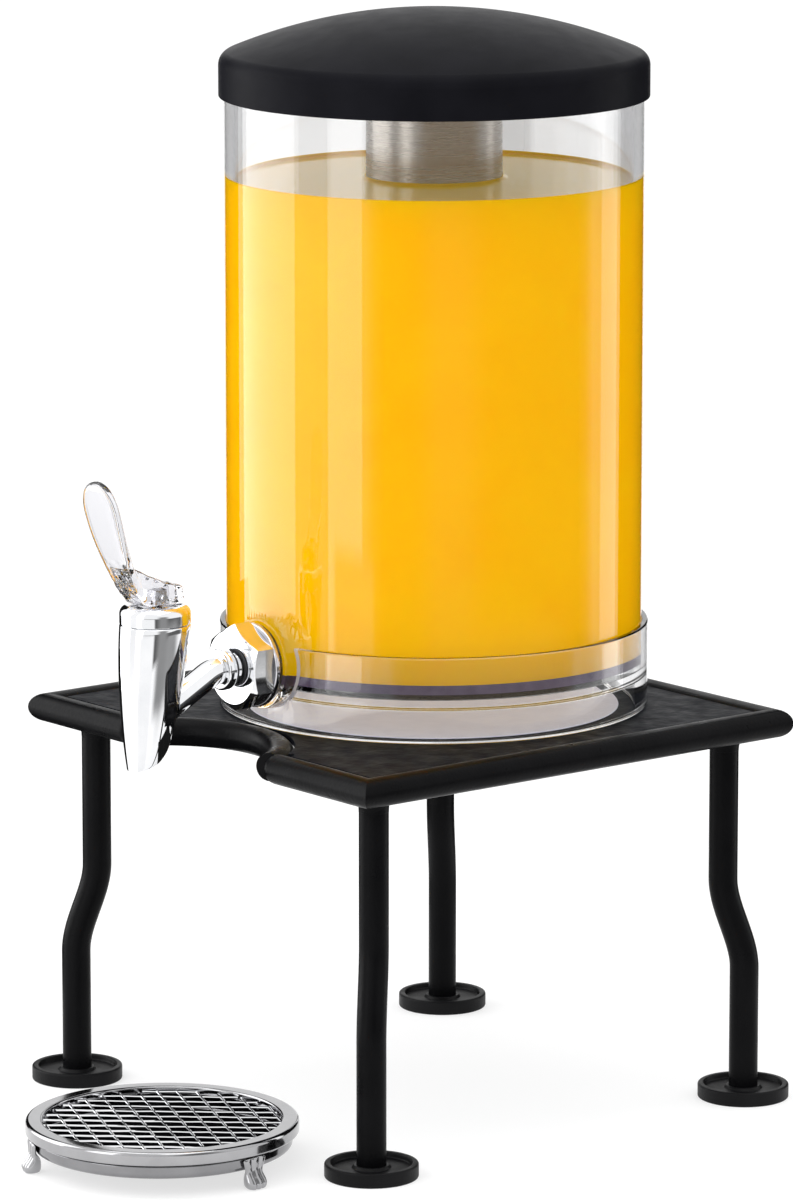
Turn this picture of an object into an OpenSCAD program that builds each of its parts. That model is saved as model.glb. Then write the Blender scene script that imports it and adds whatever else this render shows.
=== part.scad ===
// Table-top juice dispenser: a clear cylinder with a domed lid, an ice tube and a lever tap,
// on a four-legged iron stand, with a round drip tray in front.
// Millimetres, +Z up, standing on Z = 0. The tap points to -Y, and left is -X.

/* [Stand] */
// Diameter of the frame rods and legs
rod_d = 14; // [10:0.5:16]
// Width of the square frame, between rod centres
frame_w = 248; // [240:1:280]
// Height of the rod centres above the table
frame_z = 184.5; // [150:0.5:240]
// Thickness of the plate inside the frame
plate_t = 3; // [2:0.5:4]
// Depth of the plate's top below the top of the rods
plate_drop = 1.5; // [1.5:0.5:3]
// Width of the notch in the front rod
notch_w = 101; // [80:1:120]
// Thinning of the rod where it is bent round the notch
notch_thin = 0.4; // [0.2:0.1:1]
// Diameter of the drain hole at each inner corner of the notch
relief_d = 8; // [4:0.5:12]
// Distance of a leg's top inside the middle of the frame rods
leg_inset = 16.5; // [15:0.5:24]
// Distance that a leg's foot stands outside its top, in X and in Y
leg_splay = 7.5; // [4:0.5:20]
// Height at which a leg starts to bend outwards
leg_bend_z = 108; // [100:1:130]
// Height of the S-bend in a leg
leg_bend_h = 44; // [40:1:85]
// Width of the weld round the top of a leg
weld_w = 2; // [1:0.5:3]
// Height of the weld round the top of a leg
weld_h = 4; // [2:0.5:8]
// Diameter of a foot disc
foot_d = 44; // [36:1:60]
// Height of the rim of a foot disc
foot_h = 7; // [6:0.5:12]
// Width of the raised rim of a foot disc
foot_rim_w = 3; // [2:0.5:5]
// Height of the web inside the rim
foot_web_h = 4.5; // [3.5:0.5:5.5]
// Thickness of a foot disc under the leg
foot_floor = 2; // [1:0.5:3]
// Bevel on the edges of a foot disc
foot_bevel = 0.8; // [0.4:0.2:1]

/* [Container] */
// Outer diameter of the clear tube
tube_d = 200; // [180:1:204]
// Wall of the clear tube
tube_wall = 5; // [3:0.5:6]
// Length of the clear tube
tube_h = 277.5; // [240:0.5:340]
// Wall of the base collar outside the tube
collar_wall = 3; // [2:0.5:3]
// Height of the base collar
collar_h = 41; // [36:0.5:60]
// Wall of the base collar's foot ring, below the ledge
collar_foot_wall = 6; // [4:0.5:8]
// Width of the ledge that carries the container's floor
ledge_w = 10; // [6:0.5:16]
// Thickness of the ledge
ledge_t = 5; // [3:0.5:8]
// Height of the container's floor above the plate
floor_rise = 20.5; // [14:0.5:21]
// Thickness of the container's floor
floor_t = 5; // [4:0.5:5]
// Depth of the juice above the floor
juice_depth = 228.5; // [60:0.5:235]

/* [Lid] */
// Overlap of the lid outside the tube, on each side
lid_over = 2.5; // [2:0.25:5]
// Slack between the lid's skirt and the tube
lid_slack = 0.6; // [0.4:0.1:1]
// Depth of the skirt below the top of the tube
lid_skirt = 10; // [6:0.5:20]
// Radius of the lid's shoulder
lid_shoulder_r = 7; // [5:0.5:9]
// Radius of the lid's dome
lid_dome_r = 255; // [220:5:340]
// Height of the dome above the top of the tube
lid_rise = 31; // [28:0.5:40]
// Wall of the lid
lid_wall = 3; // [2:0.5:4]
// Width of the rim under the lid
lid_rim_w = 6.5; // [4:0.5:9]
// Depth of the rim inside the tube
lid_rim_depth = 7; // [4:0.5:9]
// Thickness of the flat seal between lid and tube
lid_seal_t = 2; // [1:0.5:3]

/* [Ice tube] */
// Outer diameter of the ice tube
ice_d = 65; // [50:1:66]
// Wall of the ice tube
ice_wall = 1; // [0.8:0.1:2]
// Length of the ice tube
ice_h = 258; // [120:1:262]
// Height of the ice tube's top above the top of the tube
ice_top = 13; // [10:0.5:14]
// Thickness of the ice tube's base
ice_base_t = 1.5; // [1:0.1:3]
// Wall of the plastic ring on the ice tube
ice_ring_wall = 2.5; // [2.4:0.1:4]
// Height of the plastic ring
ice_ring_h = 16; // [14:0.5:17]
// Reach of a bayonet lug
lug_reach = 3; // [2:0.5:4]
// Height of a bayonet lug
lug_h = 4; // [2:0.5:5]
// Width of a bayonet lug, in degrees
lug_angle = 25; // [15:1:32]
// Turn from locked to open, in degrees
lug_turn = 60; // [40:1:70]
// Wall of the lid's socket outside the bayonet groove
socket_wall = 3; // [2:0.5:5]
// Slack round the plastic ring in its socket
ice_slack = 0.5; // [0.4:0.1:0.8]
// Cord of the ring's O-ring
ice_seal_d = 1.8; // [1.4:0.1:2]

/* [Tap] */
// Height of the tap's shank above the plate
tap_rise = 31.5; // [31:0.5:34]
// Distance of the tap's axis in front of the tube
tap_reach = 67.5; // [66:0.5:90]
// Diameter of the clear boss on the tube
boss_d = 43; // [41:0.5:50]
// Thickness of the boss
boss_t = 7; // [5:0.5:12]
// Diameter of the gasket
gasket_d = 38; // [30:0.5:41]
// Thickness of the gasket
gasket_t = 2; // [1:0.5:3]
// Diameter of the washer
washer_d = 40.5; // [34:0.5:44]
// Thickness of the washer
washer_t = 2.5; // [1.5:0.5:4]
// Width of the nut across its flats
nut_af = 36; // [28:0.5:38]
// Thickness of the nut
nut_t = 11.5; // [6:0.5:12]
// Diameter of the shank
shank_d = 13; // [12:0.5:14]
// Bore of the shank
shank_bore = 8; // [6:0.5:9]
// Diameter of the hole in the tube behind the boss
port_d = 10; // [8:0.5:10.5]
// Diameter of the neck in front of the nut
neck_d = 15; // [14.5:0.5:17]
// Length of the neck
neck_t = 3; // [1:0.5:6]
// Diameter of the flange in front of the neck
flange_d = 20; // [18:0.5:24]
// Thickness of the flange
flange_t = 5; // [3:0.5:8]
// Downward bend of the shank, in degrees
shank_bend = 28; // [22:1:30]
// Radius of the shank's bend
shank_bend_r = 20; // [16:0.5:24]
// Diameter of the tap body at its seam
body_d = 33.5; // [33:0.5:40]
// Height of the seam above the shank
body_up = 27; // [24:0.5:30]
// Depth of the outlet below the shank
body_down = 42.5; // [38:0.5:50]
// Outer diameter of the outlet
outlet_d = 18; // [16:0.5:22]
// Bore of the outlet
outlet_bore = 10; // [8:0.5:11]
// Fullness of the body's taper: a higher value keeps it wide for longer
body_taper = 1.8; // [1.4:0.1:2.4]
// Distance that the outlet stands forward of the tap's axis
outlet_forward = 6.5; // [0:0.5:8]
// Slant of the outlet's end, in degrees
outlet_slant = 12; // [0:1:20]
// Height of the bonnet above the seam
bonnet_h = 9; // [8:0.5:12]
// Radius of the bonnet's shoulder
bonnet_r = 6.5; // [4:0.5:6.5]

/* [Valve] */
// Height of the inlet's edge above the valve seat
seat_lip = 0.8; // [0.4:0.1:2]
// Bore of the chamber above the seat
chamber_d = 15; // [14:0.5:16]
// Bore that guides the stem's flange
guide_d = 18; // [17:0.5:20]
// Depth of the guide bore below the shank
guide_down = 6; // [5:0.5:8]
// Bore that takes the bonnet's spigot
spigot_d = 26; // [23:0.5:27]
// Length of the bonnet's spigot
spigot_h = 8; // [5:0.5:10]
// Diameter of the stem
stem_d = 8; // [6.5:0.5:9]
// Diameter of the stem below its flange
stem_tail_d = 6; // [4:0.5:7]
// Height of the stem's flange above the foot of the guide bore
stem_flange_up = 2; // [1:0.5:3]
// Thickness of the stem's flange
stem_flange_t = 4; // [3:0.5:4.5]
// Diameter of the rubber seat cup
cup_d = 12; // [11.5:0.5:13]
// Height of the seat cup
cup_h = 6; // [4:0.5:7]
// Cord of the stem's O-ring
stem_seal_d = 1.4; // [1:0.1:1.8]
// Wire of the return spring
spring_wire = 1.2; // [0.8:0.1:1.6]
// Diameter of the return spring, at the middle of its wire
spring_d = 12.4; // [11.5:0.1:13]
// Depth of the spring's pocket inside the bonnet, above the seam
spring_pocket = 3; // [2:0.5:4]
// Number of turns in the return spring
spring_turns = 5; // [3:1:7]
// Height of the lever's pin above the bonnet
pin_up = 4; // [3.5:0.5:5]
// Diameter of the lever's pin
pin_d = 3; // [2:0.25:3]
// Lift of the stem for each radian that the lever turns
lift_per_rad = 8; // [6:0.5:8]
// Furthest tilt of the lever, in degrees
lever_tilt = 35; // [20:1:38]

/* [Lever] */
// Width of the lever's hub
hub_w = 16; // [14:0.5:20]
// Reach of the hub behind the pin
hub_back = 12; // [10:0.5:14]
// Height of the hub above the pin
hub_up = 7.5; // [7:0.5:10]
// Bevel at the back of the hub
hub_bevel = 2; // [1:0.25:3]
// Fall of the hub's top towards its back
hub_fall = 2.5; // [0:0.25:3]
// Thickness of the paddle
paddle_t = 4.5; // [3:0.25:6]
// Width of the paddle at its widest
paddle_w = 25; // [20:0.5:30]
// Length of the paddle along its curve
paddle_l = 53; // [40:0.5:60]
// Distance of the paddle's foot in front of the pin
paddle_out = 12.5; // [10:0.5:14]
// Depth of the paddle's foot below the top of the hub
paddle_sink = 0.25; // [0:0.25:1.5]
// Height of the paddle's round end
paddle_crown = 14.5; // [11:0.5:18]
// Slope of the paddle at the hub, in degrees
paddle_slope = 57; // [50:1:62]
// Radius of the paddle's curve
paddle_r = 160; // [130:1:200]
// Thickness of the stem's tang in the hub
tang_t = 5; // [4:0.25:5.5]
// Width of the stem's tang
tang_w = 6; // [5:0.25:6]

/* [Drip tray] */
// Diameter of the tray's rim
tray_d = 128; // [110:1:150]
// Distance of the tray's middle to the right of the stand's middle
tray_right = 35; // [-40:1:60]
// Distance of the tray's middle in front of the stand's middle
tray_front = 176; // [160:1:220]
// Height of the rim's top
tray_h = 22; // [20:0.5:40]
// Height of the rim
rim_h = 6.4; // [5:0.2:8]
// Bevel on the rim's inner and lower edges
rim_bevel = 0.8; // [0.4:0.1:1]
// Radius of the rim's outer edge
rim_round = 1.6; // [1:0.2:2.4]
// Width of the rim
rim_w = 8; // [5:0.5:10]
// Step from the rim in to the dish
dish_step = 3; // [2:0.5:5]
// Depth of the dish below the rim
dish_h = 7.2; // [5:0.2:10]
// Wall of the dish
dish_wall = 1; // [0.8:0.1:1.4]
// Depth of the shadow gap between rim and dish
dish_neck_in = 1.5; // [1:0.1:2]
// Height of the shadow gap between rim and dish
dish_neck_h = 0.9; // [0.5:0.1:1.5]
// Radius of the dish's lower edge
dish_r = 4; // [2:0.5:5]
// Depth of the grille below the top of the rim
grille_drop = 1.6; // [0.6:0.2:2]
// Depth of the rim's skirt inside the dish
skirt_h = 2.6; // [1:0.2:4]
// Width of the ledge under the grille
grille_ledge = 1.5; // [1:0.1:3]
// Thickness of the grille
grille_t = 1.4; // [1:0.1:2]
// Width of a grille wire
wire_w = 1.4; // [1:0.1:3]
// Distance between grille wires
wire_pitch = 9; // [8:0.5:16]
// Half the angle between the two sets of wires, in degrees
wire_angle = 37; // [20:1:45]
// Turn of the grille on the tray, in degrees
wire_turn = 12; // [-45:1:45]
// Width of a tray foot
claw_w = 13; // [8:0.5:16]
// Width of a tray foot's toe
claw_toe_w = 10.4; // [6:0.2:12]
// Width of a tray foot's heel
claw_heel_w = 8; // [4:0.2:10]
// Height of a tray foot's toe
claw_toe_h = 5; // [4:0.5:6]
// Thickness of a tray foot under the rim
claw_top_t = 2.5; // [1.5:0.25:3]
// Reach of a tray foot outside the dish
claw_reach = 6; // [3:0.5:8]
// Direction of the first tray foot, in degrees
claw_angle = 6; // [0:1:30]

/* [Fits] */
// Gap between glued, welded or screwed pieces
bond_gap = 0.05; // [0.02:0.01:0.1]
// Gap between the base collar and the rear rod
collar_gap = 1.17; // [0.5:0.01:4]
// Gap between the base collar and the rod round the notch
notch_gap = 1.5; // [0.5:0.01:8]
// Running gap of pins and shafts
run_gap = 0.05; // [0.03:0.01:0.1]
// Gap between pieces that move past each other
move_gap = 0.3; // [0.2:0.05:0.4]
// Height of an O-ring above its groove
seal_proud = 0.2; // [0.1:0.05:0.3]
// Thinning of a rod or bore where it is bent
bend_thin = 0.04; // [0.02:0.01:0.1]
// Length by which a bend runs into its neighbours
bend_lap = 0.5; // [0.2:0.1:1]

/* [Hidden] */
$fn = 96;
// Overshoot of a cutting shape past what it cuts
e = 1;

// The whole set is centred on its footprint, from the rear feet to the front of the tray.
leg_top_pitch = frame_w - 2 * leg_inset;
leg_foot_pitch = leg_top_pitch + 2 * leg_splay;
stand_y = (tray_front + tray_d / 2 - leg_foot_pitch / 2 - foot_d / 2) / 2;

tube_r = tube_d / 2;
bore_r = tube_r - tube_wall;
collar_r = tube_r + collar_wall;

rod_r = rod_d / 2;
frame_s = frame_w / 2;
plate_top = frame_z + rod_r - plate_drop;
plate_bottom = plate_top - plate_t;
notch_rod_d = rod_d - notch_thin;
// Half widths of the two rods at the height of the plate's top, where the collar stands between them
rod_side = sqrt(pow(rod_r, 2) - pow(plate_top - frame_z, 2));
notch_side = sqrt(pow(notch_rod_d / 2, 2) - pow(plate_top - frame_z, 2));
tube_back = frame_s - rod_side - collar_gap - collar_r;
notch_depth = frame_s + tube_back - collar_r - notch_gap - notch_side;
notch_r = (pow(notch_w / 2, 2) + pow(notch_depth, 2)) / (2 * notch_depth);
notch_y = -frame_s + notch_depth - notch_r;
notch_start = asin((notch_r - notch_depth) / notch_r);
plate_edge = sqrt(pow(rod_r, 2) - pow(max(0, plate_bottom - frame_z), 2)) + bond_gap;
leg_top = leg_top_pitch / sqrt(2);
leg_foot = leg_foot_pitch / sqrt(2);
leg_turn = 2 * atan((leg_foot - leg_top) / leg_bend_h);
leg_bend_r = leg_bend_h / (2 * sin(leg_turn));

floor_z = plate_top + floor_rise;
juice_z = floor_z + floor_t;
tube_top = juice_z + tube_h;

lid_r = tube_r + lid_over;
lid_seat = tube_top + lid_seal_t;
lid_apex = tube_top + lid_rise;
dome_z = lid_apex - lid_dome_r;
shoulder_z = dome_z + sqrt(pow(lid_dome_r - lid_shoulder_r, 2) - pow(lid_r - lid_shoulder_r, 2));
shoulder_a = atan2(shoulder_z - dome_z, lid_r - lid_shoulder_r);
lid_hollow_r = bore_r - move_gap - lid_rim_w;

ice_r = ice_d / 2;
ice_top_z = tube_top + ice_top;
ice_z = ice_top_z - ice_h;
ring_r = ice_r + bond_gap + ice_ring_wall;
ring_z = ice_top_z - ice_ring_h;
lug_z = ice_top_z - ice_ring_h / 2 - lug_h / 2;
socket_bore = ring_r + ice_slack;
groove_r = socket_bore + lug_reach;
socket_r = groove_r + socket_wall;
socket_z = ring_z - ice_slack;
// Slack at each end of the bayonet's grooves and of its slots, in degrees
groove_slack_a = 3;
slot_slack_a = 2;
ice_seal_z = ring_z + ice_seal_d;
lug_start = -lug_angle / 2;

tap_y = tube_back - tube_r;
tap_z = plate_top + tap_rise;
gasket_at = boss_t;
washer_at = gasket_at + gasket_t;
nut_at = washer_at + washer_t;
neck_at = nut_at + nut_t;
flange_at = neck_at + neck_t;
bend_at = flange_at + flange_t / 2;
bend_out = bend_at + shank_bend_r * sin(shank_bend);
bend_drop = shank_bend_r * (1 - cos(shank_bend));
body_h = body_up + body_down;
// Height of the slices that span the tap's outer form
bullet_slice = 0.5;
bonnet_z = tap_z + body_up;
bonnet_top = bonnet_z + bonnet_h;
// Length of the inlet bore inside the valve chamber
inlet_lap = 2.5;
inlet_reach = tap_reach - chamber_d / 2 + inlet_lap;
inlet_drop = bend_drop + (inlet_reach - bend_out) * tan(shank_bend);
seat_down = inlet_drop + shank_bore / 2 * cos(shank_bend) + seat_lip;
seat_z = tap_z - seat_down;
guide_z = tap_z - guide_down;
spigot_z = bonnet_z - spigot_h;
pocket_top = bonnet_z + spring_pocket;
pin_z = bonnet_top + pin_up;
outlet_lean = atan2(outlet_forward, body_down - seat_down);
flange_z = guide_z + stem_flange_up;
stem_flange_r = guide_d / 2 - move_gap - seal_proud;
stem_flange_top = flange_z + stem_flange_t;
lift_max = lift_per_rad * lever_tilt * PI / 180;
cam_h = pin_up - move_gap;

tray_y = -tray_front;
rim_r = tray_d / 2;
rim_z = tray_h - rim_h;
dish_r_out = rim_r - dish_step;
dish_z = rim_z - dish_h;
rim_in = rim_r - rim_w;
dish_neck_r = dish_r_out - dish_neck_in;
dish_in = dish_neck_r - dish_wall;
skirt_r = dish_in - move_gap;
grille_top = tray_h - grille_drop;
grille_z = grille_top - grille_t;
grille_r = rim_in - bond_gap;

black = "#1c1c1e";
chrome = "#d9dce0";
clear = "#dfe9ee";
clear_alpha = 0.45;
steel = "#b3ada3";
rubber = "#2b2b2d";
juice_colour = "#ffb400";

// Points along an arc in the plane of a profile.
function arc(x, y, r, a0, a1, n = 8) =
    [for (i = [0 : n]) [x + r * cos(a0 + (a1 - a0) * i / n), y + r * sin(a0 + (a1 - a0) * i / n)]];

// The middle of the stand, and the tube's axis, in the set's frame.
module at_stand() {
    translate([0, stand_y, 0]) children();
}
module at_tube() {
    translate([0, stand_y + tube_back, 0]) children();
}
// The shank's axis: +Z of the children runs outwards from the tube's wall.
module at_shank() {
    translate([0, stand_y + tap_y, tap_z]) rotate([90, 0, 0]) children();
}
// The tap's upright axis.
module at_tap() {
    translate([0, stand_y + tap_y - tap_reach, 0]) children();
}
module at_tray() {
    translate([tray_right, stand_y + tray_y, 0]) children();
}

module ring(r_out, r_in, h) {
    difference() {
        cylinder(h = h, r = r_out);
        translate([0, 0, -e]) cylinder(h = h + 2 * e, r = r_in);
    }
}

// A rod along +X from the origin, with a rounded end.
module round_rod(l, r) {
    rotate([0, 90, 0])
        rotate_extrude() polygon(concat([[0, 0], [r, 0]], arc(0, l, r, 0, 90)));
}

// The space between the two mitre planes of the frame's front side.
module mitre_wedge() {
    out = frame_s + 2 * rod_d;
    inner = frame_s - 2 * rod_d;
    translate([0, 0, frame_z - rod_d])
        linear_extrude(2 * rod_d)
            polygon([[-out, -out], [out, -out], [inner, -inner], [-inner, -inner]]);
}

module stand_frame() {
    color(black) at_stand() {
        for (turn = [90, 180, 270])
            rotate([0, 0, turn]) intersection() {
                translate([0, -frame_s, frame_z])
                    rotate([0, 90, 0]) cylinder(h = frame_w + 4 * rod_d, r = rod_r, center = true);
                mitre_wedge();
            }
        for (side = [0, 1])
            mirror([side, 0, 0]) intersection() {
                translate([frame_s + 2 * rod_d, -frame_s, frame_z])
                    rotate([0, 0, 180]) round_rod(frame_s + 2 * rod_d - notch_w / 2, rod_r);
                mitre_wedge();
            }
        translate([0, notch_y, frame_z])
            rotate([0, 0, notch_start])
                rotate_extrude(angle = 180 - 2 * notch_start)
                    translate([notch_r, 0]) circle(d = notch_rod_d);
    }
}

module stand_plate() {
    half = frame_s - plate_edge;
    cut_r = notch_r + plate_edge;
    relief_x = sqrt(pow(cut_r, 2) - pow(-half - notch_y, 2));
    color(black) at_stand() translate([0, 0, plate_bottom]) linear_extrude(plate_t)
        difference() {
            square(2 * half, center = true);
            translate([0, notch_y]) circle(r = cut_r);
            for (side = [-1, 1])
                translate([side * relief_x, -half]) circle(d = relief_d);
        }
}

// A round bar along an arc that starts at +X and turns towards +Y, run on at both ends.
module bent_bar(bend_r, bar_r, angle) {
    lap = bend_lap / bend_r * 180 / PI;
    rotate([0, 0, -lap]) rotate_extrude(angle = angle + 2 * lap)
        translate([bend_r, 0]) circle(r = bar_r);
}

// A leg with an S-bend outwards along the diagonal of the stand.
module leg(side, front) {
    straight_h = plate_bottom - leg_bend_z;
    color(black) at_stand() rotate([0, 0, atan2(front, side)]) {
        translate([leg_top, 0, leg_bend_z])
            rotate_extrude() polygon([
                [0, 0], [rod_r, 0], [rod_r, straight_h - weld_h],
                [rod_r + weld_w, straight_h], [0, straight_h]
            ]);
        translate([leg_top + leg_bend_r, 0, leg_bend_z])
            rotate([90, 0, 0]) rotate([0, 0, 180]) bent_bar(leg_bend_r, rod_r - bend_thin, leg_turn);
        translate([leg_foot - leg_bend_r, 0, leg_bend_z - leg_bend_h])
            rotate([90, 0, 0]) bent_bar(leg_bend_r, rod_r - 2 * bend_thin, leg_turn);
        translate([leg_foot, 0, foot_floor])
            cylinder(h = leg_bend_z - leg_bend_h - foot_floor, r = rod_r);
    }
}

module foot(side, front) {
    r = foot_d / 2;
    socket = rod_r + bond_gap;
    color(rubber) at_stand() translate([side, front, 0] * leg_foot_pitch / 2)
        rotate_extrude() polygon([
            [0, 0], [r - foot_bevel, 0], [r, foot_bevel], [r, foot_h - foot_bevel],
            [r - foot_bevel, foot_h], [r - foot_rim_w, foot_h],
            [r - foot_rim_w - foot_bevel, foot_web_h], [socket, foot_web_h],
            [socket, foot_floor], [0, foot_floor]
        ]);
}

// Clear base ring: a foot ring, a ledge for the floor and a socket round the tube.
module base_collar() {
    foot_in = collar_r - collar_foot_wall;
    ledge_in = tube_r - ledge_w;
    socket = tube_r + bond_gap;
    color(clear, clear_alpha) difference() {
        at_tube() translate([0, 0, plate_top]) rotate_extrude() polygon([
            [foot_in, 0], [collar_r, 0], [collar_r, collar_h], [socket, collar_h],
            [socket, floor_rise], [ledge_in, floor_rise],
            [ledge_in, floor_rise - ledge_t], [foot_in, floor_rise - ledge_t]
        ]);
        at_shank() translate([0, 0, -collar_wall])
            cylinder(h = 4 * collar_wall, d = boss_d + 2 * move_gap);
    }
}

module container_floor() {
    color(clear, clear_alpha) at_tube() translate([0, 0, floor_z])
        cylinder(h = floor_t, r = tube_r);
}

module container_tube() {
    color(clear, clear_alpha) difference() {
        at_tube() translate([0, 0, juice_z]) ring(tube_r, bore_r, tube_h);
        at_shank() translate([0, 0, -2 * tube_wall])
            cylinder(h = 4 * tube_wall, d = port_d);
    }
}

module juice() {
    color(juice_colour) at_tube() difference() {
        translate([0, 0, juice_z]) cylinder(h = juice_depth, r = bore_r - bond_gap);
        translate([0, 0, ice_z - move_gap])
            cylinder(h = juice_depth + ice_h, r = ice_r + move_gap);
    }
}

// Clear round boss, glued to the tube, that the tap's shank screws into.
module tap_boss() {
    color(clear, clear_alpha) difference() {
        at_shank() translate([0, 0, -2 * tube_wall]) cylinder(h = 2 * tube_wall + boss_t, d = boss_d);
        at_tube() cylinder(h = tube_top, r = tube_r + bond_gap);
        at_shank() translate([0, 0, -4 * tube_wall])
            cylinder(h = 6 * tube_wall + boss_t, d = shank_d + 2 * bond_gap);
    }
}

module tap_gasket() {
    color(rubber) at_shank() translate([0, 0, gasket_at])
        ring(gasket_d / 2, shank_d / 2 + bond_gap, gasket_t);
}

module tap_washer() {
    color(chrome) at_shank() translate([0, 0, washer_at])
        ring(washer_d / 2, shank_d / 2 + bond_gap, washer_t);
}

module tap_nut() {
    corner = nut_af / sqrt(3);
    bevel = corner - nut_af / 2;
    color(chrome) at_shank() translate([0, 0, nut_at]) difference() {
        intersection() {
            rotate([0, 0, 30]) cylinder(h = nut_t, r = corner, $fn = 6);
            rotate_extrude() polygon([
                [0, 0], [corner, 0], [corner, nut_t - bevel / 2], [nut_af / 2, nut_t], [0, nut_t]
            ]);
        }
        translate([0, 0, -e]) cylinder(h = nut_t + 2 * e, d = shank_d + 2 * bond_gap);
    }
}

// The shank's path, as a round bar: out of the boss, round the bend and down to a reach.
module shank_path(d, from, reach) {
    at_shank() {
        translate([0, 0, from]) cylinder(h = bend_at - from, d = d);
        translate([0, -shank_bend_r, bend_at]) rotate([90, 0, 90])
            bent_bar(shank_bend_r, d / 2 - bend_thin, shank_bend);
        translate([0, -bend_drop, bend_out]) rotate([shank_bend, 0, 0])
            cylinder(h = (reach - bend_out) / cos(shank_bend), d = d);
    }
}

// The tap's outer form: rounded at the seam, tapering and leaning forwards to the outlet.
module bullet() {
    steps = 9;
    tip_r = outlet_d / 2;
    hull() for (i = [0 : steps]) {
        u = i / steps;
        translate([0, -outlet_forward * u, bonnet_z - body_h * u - bullet_slice * (1 - u)])
            cylinder(
                h = bullet_slice, r = tip_r + (body_d / 2 - tip_r) * (1 - pow(u, body_taper)), $fn = 48
            );
    }
}

module tap_body() {
    tip_z = tap_z - body_down + bullet_slice;
    color(chrome) difference() {
        union() {
            at_tap() bullet();
            shank_path(shank_d, bond_gap, tap_reach);
            at_shank() translate([0, 0, neck_at]) cylinder(h = neck_t, d = neck_d);
            at_shank() translate([0, 0, flange_at]) cylinder(h = flange_t, d = flange_d);
        }
        shank_path(shank_bore, 0, inlet_reach);
        at_tap() {
            translate([0, 0, seat_z]) cylinder(h = body_h, d = chamber_d);
            translate([0, 0, guide_z]) cylinder(h = body_h, d = guide_d);
            translate([0, 0, spigot_z]) cylinder(h = body_h, d = spigot_d);
            translate([0, 0, seat_z + e]) rotate([180 - outlet_lean, 0, 0])
                cylinder(h = body_h, d = outlet_bore);
            translate([-body_d / 2, -outlet_forward - outlet_d / 2, tip_z]) rotate([outlet_slant, 0, 0])
                translate([0, -e, -outlet_d]) cube([body_d, body_d, outlet_d]);
        }
    }
}

module tap_bonnet() {
    r = body_d / 2;
    spigot_r = spigot_d / 2 - bond_gap;
    guide_r = guide_d / 2;
    stem_hole = stem_d / 2 + run_gap;
    color(chrome) at_tap() rotate_extrude() polygon(concat(
        [[guide_r, spigot_z], [spigot_r, spigot_z], [spigot_r, bonnet_z], [r, bonnet_z]],
        arc(r - bonnet_r, bonnet_top - bonnet_r, bonnet_r, 0, 90),
        [[stem_hole, bonnet_top], [stem_hole, pocket_top], [guide_r, pocket_top]]
    ));
}

// Stem with a seat cup below, a flange for the spring and a flat tang for the lever.
module valve_stem() {
    tail = stem_tail_d / 2;
    flange_r = stem_flange_r;
    groove_in = flange_r + seal_proud - stem_seal_d - bond_gap;
    groove_h = stem_seal_d + 2 * bond_gap;
    groove_z = flange_z + (stem_flange_t - groove_h) / 2;
    tang_z = bonnet_top - lift_max - move_gap;
    tang_top = pin_z + tang_w / 2;
    color(steel) at_tap() difference() {
        union() {
            rotate_extrude() polygon([
                [0, seat_z + cup_h / 2], [tail, seat_z + cup_h / 2], [tail, flange_z], [flange_r, flange_z],
                [flange_r, groove_z], [groove_in, groove_z],
                [groove_in, groove_z + groove_h], [flange_r, groove_z + groove_h],
                [flange_r, stem_flange_top], [stem_d / 2, stem_flange_top],
                [stem_d / 2, tang_z], [0, tang_z]
            ]);
            translate([-tang_t / 2, -tang_w / 2, tang_z - e]) cube([tang_t, tang_w, tang_top - tang_z + e]);
        }
        translate([0, 0, pin_z]) rotate([0, 90, 0])
            cylinder(h = hub_w, d = pin_d + 2 * bond_gap, center = true);
    }
}

module seat_cup() {
    hole = stem_tail_d / 2 + bond_gap;
    color(rubber) at_tap() rotate_extrude() polygon([
        [0, seat_z], [cup_d / 2, seat_z], [cup_d / 2, seat_z + cup_h / 2],
        [(cup_d / 2 + hole) / 2, seat_z + cup_h], [hole, seat_z + cup_h],
        [hole, seat_z + cup_h / 2], [0, seat_z + cup_h / 2]
    ]);
}

module stem_seal() {
    color(rubber) at_tap() translate([0, 0, flange_z + stem_flange_t / 2])
        rotate_extrude() translate([stem_flange_r + seal_proud - stem_seal_d / 2, 0])
            circle(d = stem_seal_d);
}

// Return spring between the stem's flange and the bonnet: one six-sided wire along a helix.
module stem_spring() {
    sides = 6;
    rings = 16 * spring_turns;
    wire_r = spring_wire / 2;
    low = stem_flange_top + wire_r;
    rise = pocket_top - wire_r - low;
    points = [
        for (i = [0 : rings], j = [0 : sides - 1])
            let (
                turn = 360 * spring_turns * i / rings,
                r = spring_d / 2 + wire_r * cos(30 + 360 * j / sides),
                z = low + rise * i / rings + wire_r * sin(30 + 360 * j / sides)
            )
            [r * cos(turn), r * sin(turn), z]
    ];
    wall = [
        for (i = [0 : rings - 1], j = [0 : sides - 1])
            let (a = i * sides + j, b = i * sides + (j + 1) % sides)
            each [[a, b, b + sides], [a, b + sides, a + sides]]
    ];
    ends = [
        for (j = [1 : sides - 2])
            each [[0, j + 1, j], [rings * sides, rings * sides + j, rings * sides + j + 1]]
    ];
    color(steel) at_tap() polyhedron(points, concat(wall, ends));
}

module cross_pin() {
    color(steel) at_tap() translate([0, 0, pin_z])
        rotate([0, 90, 0]) cylinder(h = hub_w, d = pin_d, center = true);
}

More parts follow.
